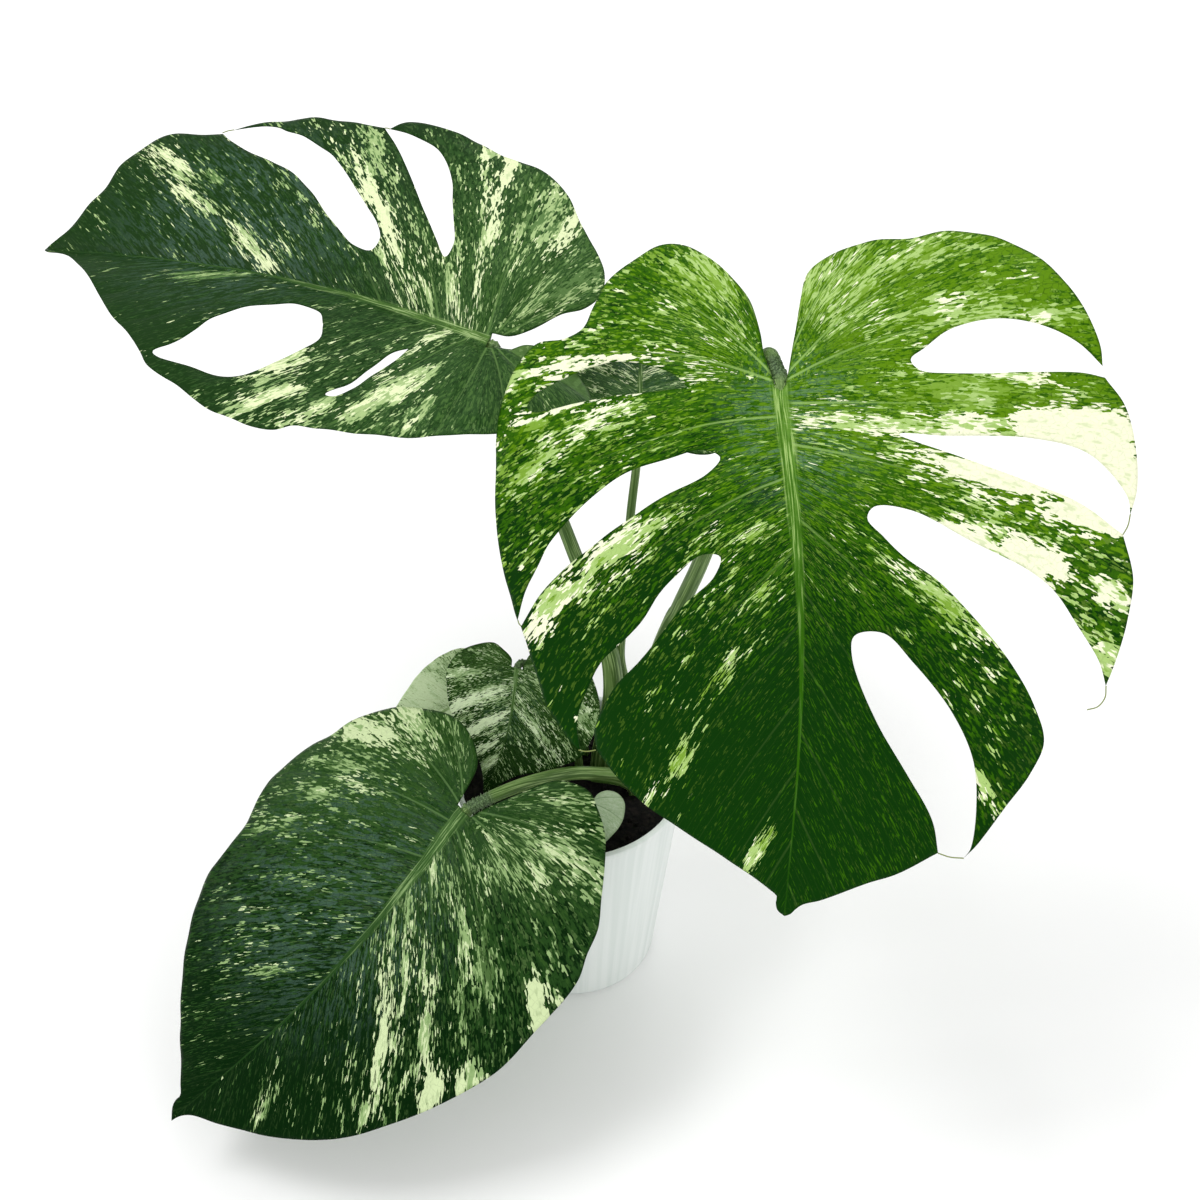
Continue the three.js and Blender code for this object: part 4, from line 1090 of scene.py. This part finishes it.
def pot_material():
    """White matt plastic with faint streaks from the mould, which follow the wall's taper."""
    net = Net("pot_white", 0.5, 0.35)
    place = net.tree.nodes.new("ShaderNodeSeparateXYZ")
    net.tree.links.new(net.object_place(), place.inputs[0])
    around = net.vector("NORMALIZE", net.spot(place.outputs[0], place.outputs[1]))
    turn = net.vector("MULTIPLY_ADD", around, (11.0, 11.0, 0.0),
                      net.spot(0.0, 0.0, net.times(place.outputs[2], 5.0)))
    streaks = net.noise(turn, 1.0, 3.0)
    net.shade("Base Color", net.mix(net.step(streaks, 0.35, 0.65), linear(217, 224, 220),
                                    linear(228, 233, 230)))
    net.bump(streaks, 0.08)
    return net.material


def soil_material():
    """Nearly black moist peat."""
    net = Net("peat", 0.9, 0.2)
    grain = net.noise(net.object_place(), 400.0, 4.0)
    net.shade("Base Color", net.mix(net.step(grain, 0.4, 0.7), linear(5, 5, 4),
                                    linear(26, 22, 18)))
    net.bump(grain, 0.8)
    return net.material


def stage_material():
    """The floor's plain pale finish."""
    net = Net("floor", 0.9, 0.1)
    net.shade("Base Color", (0.93, 0.93, 0.93, 1.0))
    return net.material


def length(name, description, default, low, high):
    """A setting that is a length in metres."""
    return bpy.props.FloatProperty(name=name, description=description, default=default, min=low,
                                   max=high, unit="LENGTH")


def number(name, description, default, low, high):
    """A setting that is a whole number."""
    return bpy.props.IntProperty(name=name, description=description, default=default, min=low,
                                 max=high)


def strength(name, description, default, high):
    """A setting that is the strength of a light."""
    return bpy.props.FloatProperty(name=name, description=description, default=default, min=0.0,
                                   max=high)


def turn_of(name, description, degrees, low, high):
    """A setting that is an angle."""
    return bpy.props.FloatProperty(name=name, description=description, min=low, max=high,
                                   default=math.radians(degrees), subtype="ANGLE")


class PotSettings(bpy.types.PropertyGroup):
    """Sizes of the pot."""

    height: length("Height", "From the floor to the top of the rim", 0.133, 0.05, 0.3)
    base_radius: length("Foot radius", "Of the outer wall at the floor", 0.0465, 0.02, 0.2)
    rim_radius: length("Rim radius", "Outside of the rim", 0.0625, 0.02, 0.2)
    wall: length("Wall", "Thickness of the wall", 0.0024, 0.001, 0.01)
    corner: length("Corner", "Radius between the foot and the wall", 0.004, 0.001, 0.02)
    rim_band: length("Rim band", "Height of the rim's band", 0.005, 0.001, 0.03)
    rim_proud: length("Rim step", "How far the band stands out", 0.0009, 0.0, 0.005)
    sides: number("Sides", "Steps round the pot", 160, 24, 400)

    def outside(self, height):
        """Radius of the outer wall at a height."""
        lean = (self.rim_radius - self.rim_proud - self.base_radius) / self.height
        return self.base_radius + lean * height


class SoilSettings(bpy.types.PropertyGroup):
    """Sizes of the soil."""

    top: length("Level", "Height of the soil at the wall", 0.121, 0.02, 0.3)
    mound: length("Mound", "How much higher the middle is", 0.002, 0.0, 0.02)
    roughness: length("Unevenness", "Height of the soil's bumps", 0.0022, 0.0, 0.01)
    crumbs: number("Crumbs", "Loose bits on the soil", 320, 0, 2000)
    crumb_size: length("Crumb size", "Radius of a large crumb", 0.0026, 0.0005, 0.01)


class BladeSettings(bpy.types.PropertyGroup):
    """Relief and fineness of the blades."""

    thickness: length("Thickness", "Of the blade between its veins", 0.0007, 0.0002, 0.003)
    grain: length("Net", "Spacing of the points over the blade", 0.0015, 0.001, 0.01)
    rib_height: length("Midrib", "How far it stands out on the upper face", 0.0014, 0.0, 0.004)
    groove: length("Vein grooves", "Depth of the side veins in the upper face", 0.0009, 0.0, 0.003)
    swell: length("Swells", "How far the blade rises between two side veins", 0.0012, 0.0, 0.006)


class StalkSettings(bpy.types.PropertyGroup):
    """Fineness and relief of the petioles."""

    sides: number("Sides", "Steps round a petiole", 28, 8, 64)
    ring: length("Ring spacing", "Steps along a petiole", 0.0022, 0.0005, 0.01)
    wing: length("Sheath wing", "How far the sheath's edges stand out", 0.001, 0.0, 0.004)
    wrinkle: length("Wrinkles", "Depth of the wrinkles just below the blade", 0.0006, 0.0, 0.002)


class StageSettings(bpy.types.PropertyGroup):
    """Where the picture is taken from, and its light."""

    distance: length("Distance", "From the camera to what it looks at", 1.128, 0.3, 5)
    height_angle: turn_of("Elevation", "How far above the horizon the camera stands", 42, 0.0, 1.5)
    view_angle: turn_of("View angle", "Width of the camera's view", 30, 0.1, 1.5)
    target: bpy.props.FloatVectorProperty(
        name="Looks at", description="The point in the middle of the picture",
        default=(0.0162, 0.0, 0.2598), subtype="TRANSLATION")
    sky: strength("Sky", "Strength of the even light", 0.92, 5)
    key: strength("Key light", "Power of the large soft light, in watts", 110, 2000)


def fresh_primitive(name):
    """Names the object that an operator has just made, and gives it back."""
    made = bpy.context.active_object
    made.name = name
    made.data.name = name
    return made


def start_ring(name, sides, radius, height):
    """An open ring of points round the middle, all selected in edit mode."""
    bpy.ops.object.select_all(action="DESELECT")
    bpy.ops.mesh.primitive_circle_add(vertices=sides, radius=radius, fill_type="NOTHING",
                                      location=(0, 0, height))
    piece = fresh_primitive(name)
    bpy.ops.object.mode_set(mode="EDIT")
    bpy.ops.mesh.select_all(action="SELECT")
    return piece


def next_ring(rise, share):
    """Extrudes the selected ring by a rise, to a share of its radius."""
    bpy.ops.mesh.extrude_region_move(TRANSFORM_OT_translate={"value": (0, 0, rise)})
    bpy.ops.transform.resize(value=(share, share, 1), center_override=(0, 0, 0))


def close_ring():
    """Closes the selected ring with a fan."""
    bpy.ops.mesh.edge_face_add()
    bpy.ops.mesh.poke()


def pick_open_ring():
    """Selects the ring that is still open."""
    bpy.ops.mesh.select_all(action="DESELECT")
    bpy.ops.mesh.select_non_manifold()


def end_rings():
    """Closes the last ring, turns all faces outwards and leaves edit mode."""
    close_ring()
    bpy.ops.mesh.select_all(action="SELECT")
    bpy.ops.mesh.normals_make_consistent(inside=False)
    bpy.ops.object.mode_set(mode="OBJECT")


def finish_piece(piece, slot, *nodes):
    """Parents a piece to the plant's root and hides the solids that it stands for."""
    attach(piece, "root")
    if nodes:
        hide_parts(*nodes)


# Heights of the pot's floor, of the soil's underside and of a ring half way up, in metres
POT_FLOOR = 0.003
SOIL_FOOT = 0.006
HALF_WAY = 0.06


class BuildPot(bpy.types.Operator):
    """Turns the white pot: foot, rounded corner, flaring wall, rim band and hollow"""

    bl_idname = "monstera.build_pot"
    bl_label = "Build pot"

    def execute(self, context):
        """Grows the pot ring by ring from its foot."""
        pot = context.scene.monstera_pot
        wall = pot.outside
        profile = []
        for step in range(7):
            angle = step / 6 * math.pi / 2
            profile.append((wall(pot.corner) - pot.corner * (1 - math.sin(angle)),
                            pot.corner * (1 - math.cos(angle))))
        band = pot.height - pot.rim_band
        inner = wall(pot.height) - pot.wall
        profile += [(wall(h * pot.height), h * pot.height) for h in (0.2, 0.4, 0.6, 0.8)]
        profile += [(wall(band - 0.0012), band - 0.0012), (wall(band - 0.0004), band - 0.0002),
                    (wall(band) + 0.7 * pot.rim_proud, band + 0.0003),
                    (wall(band) + pot.rim_proud, band + 0.001),
                    (pot.rim_radius, pot.height - 0.001),
                    (pot.rim_radius - 0.0003, pot.height - 0.0003),
                    (pot.rim_radius - 0.001, pot.height), (inner + 0.0008, pot.height),
                    (inner + 0.0002, pot.height - 0.0003), (inner, pot.height - 0.0009),
                    (wall(HALF_WAY) - pot.wall, HALF_WAY),
                    (wall(SOIL_FOOT) - pot.wall, SOIL_FOOT),
                    (wall(POT_FLOOR) - pot.wall - 0.002, POT_FLOOR)]
        shell = start_ring("white_pot", pot.sides, profile[0][0], 0)
        for (r0, z0), (r1, z1) in zip(profile[:-1], profile[1:]):
            next_ring(z1 - z0, r1 / r0)
        close_ring()
        pick_open_ring()
        end_rings()
        bpy.ops.object.shade_smooth_by_angle(angle=math.radians(35))
        shell.data.materials.append(pot_material())
        finish_piece(shell, "pot_white", "pot")
        return {"FINISHED"}


# The mound's radius, how far out the crumbs lie and the soil's gap to the wall, in metres, the
# steps of the soil's top round and inwards, and the seed of the crumbs' places
MOUND_RADIUS = 0.058
CRUMB_REACH = 0.0565
SOIL_GAP = 0.0001
SOIL_SIDES = 120
SOIL_RINGS = 34
CRUMB_SEED = 7


def soil_height(x, y, soil):
    """The soil's height at a place, in metres."""
    radius = math.hypot(x, y) / MOUND_RADIUS
    lumps = noise.fractal(Vector((x * 90, y * 90, 1.7)), 0.8, 2.0, 4)
    return soil.top + soil.mound * max(0.0, 1 - radius * radius) + soil.roughness * lumps


class BuildSoil(bpy.types.Operator):
    """Fills the pot with dark peat and strews crumbs over it"""

    bl_idname = "monstera.build_soil"
    bl_label = "Build soil"

    def execute(self, context):
        """Makes the soil's body with its uneven top, and the crumbs as one piece."""
        soil = context.scene.monstera_soil
        pot = context.scene.monstera_pot

        def inner(height):
            return pot.outside(height) - pot.wall - SOIL_GAP

        body = start_ring("peat", SOIL_SIDES, inner(soil.top), soil.top)
        radius = inner(soil.top)
        for ring in range(SOIL_RINGS):
            smaller = inner(soil.top) * (1 - (ring + 1) / (SOIL_RINGS + 1))
            next_ring(0, smaller / radius)
            radius = smaller
        close_ring()
        pick_open_ring()
        for low, high in ((HALF_WAY, soil.top), (SOIL_FOOT, HALF_WAY)):
            next_ring(low - high, inner(low) / inner(high))
        end_rings()
        bpy.ops.object.transform_apply(location=True, rotation=True, scale=True)
        for corner in body.data.vertices:
            x, y, z = corner.co
            if z > soil.top - 0.001 and math.hypot(x, y) < inner(soil.top) - 0.0005:
                corner.co.z = soil_height(x, y, soil)
        body.data.shade_smooth()
        finish = soil_material()
        body.data.materials.append(finish)
        finish_piece(body, "soil_mix", "soil")

        bpy.ops.object.select_all(action="DESELECT")
        bpy.ops.mesh.primitive_ico_sphere_add(subdivisions=2, radius=1, location=(0, 0, 0))
        crumb = fresh_primitive("crumbs")
        shape = np.array([corner.co[:] for corner in crumb.data.vertices])
        faces = np.array([face.vertices[:] for face in crumb.data.polygons])
        rng = np.random.default_rng(CRUMB_SEED)
        points, cells = [], []
        for index in range(soil.crumbs):
            reach = CRUMB_REACH * math.sqrt(rng.random())
            angle = rng.random() * 2 * math.pi
            x, y = reach * math.cos(angle), reach * math.sin(angle)
            size = soil.crumb_size * (0.25 + 0.75 * rng.random() ** 3)
            if math.hypot(x, y) + size > inner(soil.top) - 0.0008:
                continue
            rough = np.array([1 + 0.45 * noise.noise(Vector(p * 1.4) + Vector((index, 0, 0)))
                              for p in shape])
            squeeze = 0.55 + 0.6 * rng.random(3)
            spot = (x, y, soil_height(x, y, soil) + 0.25 * size)
            cells += (faces + len(points) * len(shape)).tolist()
            points.append(shape * rough[:, None] * squeeze * size + spot)
        crumb.data.clear_geometry()
        crumb.data.from_pydata(np.vstack(points).tolist(), [], cells)
        crumb.data.shade_smooth()
        crumb.data.materials.append(finish)
        finish_piece(crumb, "soil_mix")
        return {"FINISHED"}


# Where the stem stands and how high it reaches, in mm
STEM_CENTRE = (36.0, 24.0)
STEM_TOP = 141.0


class BuildStem(bpy.types.Operator):
    """Makes the short stem with the rings that old leaves left"""

    bl_idname = "monstera.build_stem"
    bl_label = "Build stem"

    def execute(self, context):
        """Makes the stem as a ringed stalk."""
        heights = np.arange(STEM_FOOT, STEM_TOP, 0.8)
        line = np.stack([np.full(heights.shape, at) for at in STEM_CENTRE] + [heights], axis=1)

        def radius(share, run, angle):
            ring = 0.35 * np.cos(run * 2 * math.pi / 7) ** 8
            top = np.interp(share, (0, 0.84, 0.96, 1), (6.3, 6.0, 5.2, 2.6))
            return top + ring + 0.12 * np.sin(9 * angle + 0.3 * run)

        mesh = tube("short_stem", line, radius, 40, (0, -1, 0))
        stem = new_object("short_stem", mesh)
        mesh.materials.append(stalk_material("stem_green", (120, 146, 84), (94, 122, 60),
                                             (62, 84, 34), 0.3))
        finish_piece(stem, "stem_green", "stem")
        return {"FINISHED"}


class BuildStalks(bpy.types.Operator):
    """Makes the petioles, with the sheath low down and the wrinkled joint under each blade"""

    bl_idname = "monstera.build_stalks"
    bl_label = "Build petioles"

    def execute(self, context):
        """Makes one petiole for each leaf along the same route as its solid."""
        settings = context.scene.monstera_stalks
        finish = stalk_material("petiole_green", (142, 168, 104), (100, 130, 66), (60, 92, 30), 0.2)
        for name in LEAVES:
            leaf = Leaf(name)
            route = petiole_route(leaf)
            tip = leaf.radii[-1][1]
            size = min(1.0, tip / 3)
            coarse = spline(route, settings.ring / MM * max(size, 0.5))
            under = (leaf.place(np.array([5.0, 9.0]) * size, np.array([0.0, 0.0]))
                     - leaf.out * (0.55 * tip + 0.3))
            run = np.r_[0, np.cumsum(np.linalg.norm(np.diff(coarse, axis=0), axis=1))]
            near = run < run[-1] - FINE_LENGTH * size
            last = np.arange(run[-1] - FINE_LENGTH * size, run[-1], 0.5)
            close = np.stack([np.interp(last, run, coarse[:, k]) for k in range(3)], axis=1)
            tail = spline(np.vstack([close[-1], under]), 1.0)[1:]
            line = np.vstack([coarse[near], close, tail])
            whole = run[-1]
            table = np.array(leaf.radii)

            def radius(share, run, angle, leaf=leaf, whole=whole, table=table, size=size):
                way = np.clip(run / whole, 0, 1)
                base = np.interp(way, table[:, 0], table[:, 1])
                turn = np.abs((angle + math.pi) % (2 * math.pi) - math.pi)
                sheath = 1 - smoothstep(leaf.sheath - 0.02, leaf.sheath + 0.003, way)
                channel = -0.16 * base * np.exp(-(turn / 0.42) ** 2) * sheath
                wing = settings.wing / MM * size * np.exp(-((turn - 0.75) / 0.16) ** 2) * sheath
                bend = smoothstep(whole - JOINT_LENGTH * size, whole - 12 * size, run)
                folds = settings.wrinkle / MM * size * bend * (
                    np.sin(2 * math.pi * run / (1.5 * size) + 1.2 * np.sin(3 * angle))
                    + 0.6 * np.sin(2 * math.pi * run / (2.3 * size) + 2 * angle))
                ridges = 0.05 * base * np.sin(11 * angle + 0.02 * run) * (1 - bend) * 0.5
                merge = 1 - 0.45 * smoothstep(whole, whole + 8 * size, run)
                return (base + channel + wing + folds + ridges) * merge

            mesh = tube(name + "_stalk", line, radius, settings.sides, (-0.35, -1, 0.2),
                        whole - JOINT_LENGTH * size)
            stalk = new_object(name + "_stalk", mesh)
            mesh.materials.append(finish)
            finish_piece(stalk, "petiole_green", name + "_petiole")
        return {"FINISHED"}


class BuildBlades(bpy.types.Operator):
    """Makes the seven blades with their veins, swells and variegation"""

    bl_idname = "monstera.build_blades"
    bl_label = "Build blades"

    def execute(self, context):
        """Makes each blade in place of its solid."""
        settings = context.scene.monstera_blades
        for name in LEAVES:
            leaf = Leaf(name)
            mesh = blade_mesh(leaf, settings)
            blade = new_object(name, mesh)
            mesh.materials.append(blade_material(leaf, False))
            mesh.materials.append(blade_material(leaf, True))
            finish_piece(blade, leaf.slot, name + "_blade")
        return {"FINISHED"}


# Dry threads that bridge the lobes' tips: their radius in mm, and for each the leaf and the
# places that it runs through
THREAD_RADIUS = 0.28
THREADS = [
    ("front_leaf", [(165, -98), (165.6, -94), (165, -89)]),
    ("front_leaf", [(104, -130), (105.6, -129.4), (107, -128)]),
    ("front_leaf", [(209, 69), (210.6, 74), (211, 80)]),
    ("front_leaf", [(135, 141), (140, 140.5), (144, 137.5), (145.5, 133)]),
    ("front_leaf", [(69, 149), (65, 151), (60, 152)]),
    ("back_leaf", [(101, -119), (102.5, -119.3), (104, -119)]),
    ("back_leaf", [(183, -97), (185.6, -95.4), (188, -93)]),
]


class BuildThreads(bpy.types.Operator):
    """Makes the dry threads at the tips of the lobes"""

    bl_idname = "monstera.build_threads"
    bl_label = "Build threads"

    def execute(self, context):
        """Makes the threads as one piece."""
        points, faces = [], []
        for name, places in THREADS:
            leaf = Leaf(name)
            a, b = np.array(places, float).T
            line = spline(leaf.place(a, b), 0.4)
            mesh = tube("thread", line,
                        lambda share, run, angle: THREAD_RADIUS + 0 * run + 0 * angle, 8, leaf.out)
            start = sum(len(part) for part in points)
            points.append(np.array([corner.co[:] for corner in mesh.vertices]) / MM)
            faces += [[start + k for k in face.vertices] for face in mesh.polygons]
            bpy.data.meshes.remove(mesh)
        mesh = mesh_of("threads", np.vstack(points), faces)
        threads = new_object("threads", mesh)
        net = Net("dry_thread", 0.7)
        net.shade("Base Color", linear(120, 132, 70))
        mesh.materials.append(net.material)
        finish_piece(threads, "bright_blade")
        return {"FINISHED"}


class BuildStage(bpy.types.Operator):
    """Sets out the floor, the light and the camera"""

    bl_idname = "monstera.build_stage"
    bl_label = "Build stage"

    def execute(self, context):
        """Adds a plain pale floor, soft lights and the camera."""
        stage = context.scene.monstera_stage
        bpy.ops.object.select_all(action="DESELECT")
        bpy.ops.mesh.primitive_plane_add(size=9, location=(0, 0, 0))
        floor = fresh_primitive("floor")
        floor.data.materials.append(stage_material())

        world = bpy.data.worlds.new("sky")
        world.use_nodes = True
        sky = world.node_tree.nodes["Background"]
        sky.inputs["Color"].default_value = (1.0, 1.0, 1.0, 1.0)
        sky.inputs["Strength"].default_value = stage.sky
        context.scene.world = world

        target = Vector(stage.target)
        for name, spot, size, share in (("key", (-2.6, -0.5, 5.4), 2.0, 1.0),
                                        ("fill", (2.4, -3.4, 3.8), 2.6, 0.27),
                                        ("back", (0.4, 3.2, 5.2), 1.6, 0.3)):
            bpy.ops.object.light_add(type="AREA", location=spot)
            lamp = fresh_primitive(name)
            lamp.data.size = size
            lamp.data.energy = stage.key * share
            lamp.rotation_euler = (target - Vector(spot)).to_track_quat("-Z", "Y").to_euler()

        rise = stage.height_angle
        away = Vector((0, -math.cos(rise), math.sin(rise))) * stage.distance
        bpy.ops.object.camera_add(location=target + away,
                                  rotation=(math.pi / 2 - rise, 0, 0))
        camera = fresh_primitive("camera")
        camera.data.angle = stage.view_angle
        context.scene.camera = camera
        context.scene.view_settings.view_transform = "Standard"
        return {"FINISHED"}


class MonsteraPanel(bpy.types.Panel):
    """The plant's settings and its build steps"""

    bl_label = "Monstera"
    bl_idname = "VIEW3D_PT_monstera"
    bl_space_type = "VIEW_3D"
    bl_region_type = "UI"
    bl_category = "Monstera"

    def draw(self, context):
        """Lists every setting, and a button for each step."""
        for group in GROUPS:
            box = self.layout.box()
            settings = getattr(context.scene, group)
            for key in settings.bl_rna.properties.keys():
                if key not in ("rna_type", "name"):
                    box.prop(settings, key)
        for step in STEPS:
            self.layout.operator(step.bl_idname)


GROUPS = {
    "monstera_pot": PotSettings,
    "monstera_soil": SoilSettings,
    "monstera_blades": BladeSettings,
    "monstera_stalks": StalkSettings,
    "monstera_stage": StageSettings,
}
STEPS = [BuildPot, BuildSoil, BuildStem, BuildStalks, BuildBlades, BuildThreads, BuildStage]


def register():
    """Adds the settings, the steps and the panel."""
    for name, kind in GROUPS.items():
        bpy.utils.register_class(kind)
        setattr(bpy.types.Scene, name, bpy.props.PointerProperty(type=kind))
    for kind in [*STEPS, MonsteraPanel]:
        bpy.utils.register_class(kind)


def unregister():
    """Takes away what register added."""
    for kind in [MonsteraPanel, *reversed(STEPS)]:
        bpy.utils.unregister_class(kind)
    for name, kind in GROUPS.items():
        delattr(bpy.types.Scene, name)
        bpy.utils.unregister_class(kind)


def main():
    """Registers the steps and builds the plant, its pot and its stage."""
    register()
    bpy.ops.monstera.build_pot()
    bpy.ops.monstera.build_soil()
    bpy.ops.monstera.build_stem()
    bpy.ops.monstera.build_stalks()
    bpy.ops.monstera.build_blades()
    bpy.ops.monstera.build_threads()
    bpy.ops.monstera.build_stage()


if __name__ == "__main__":
    main()
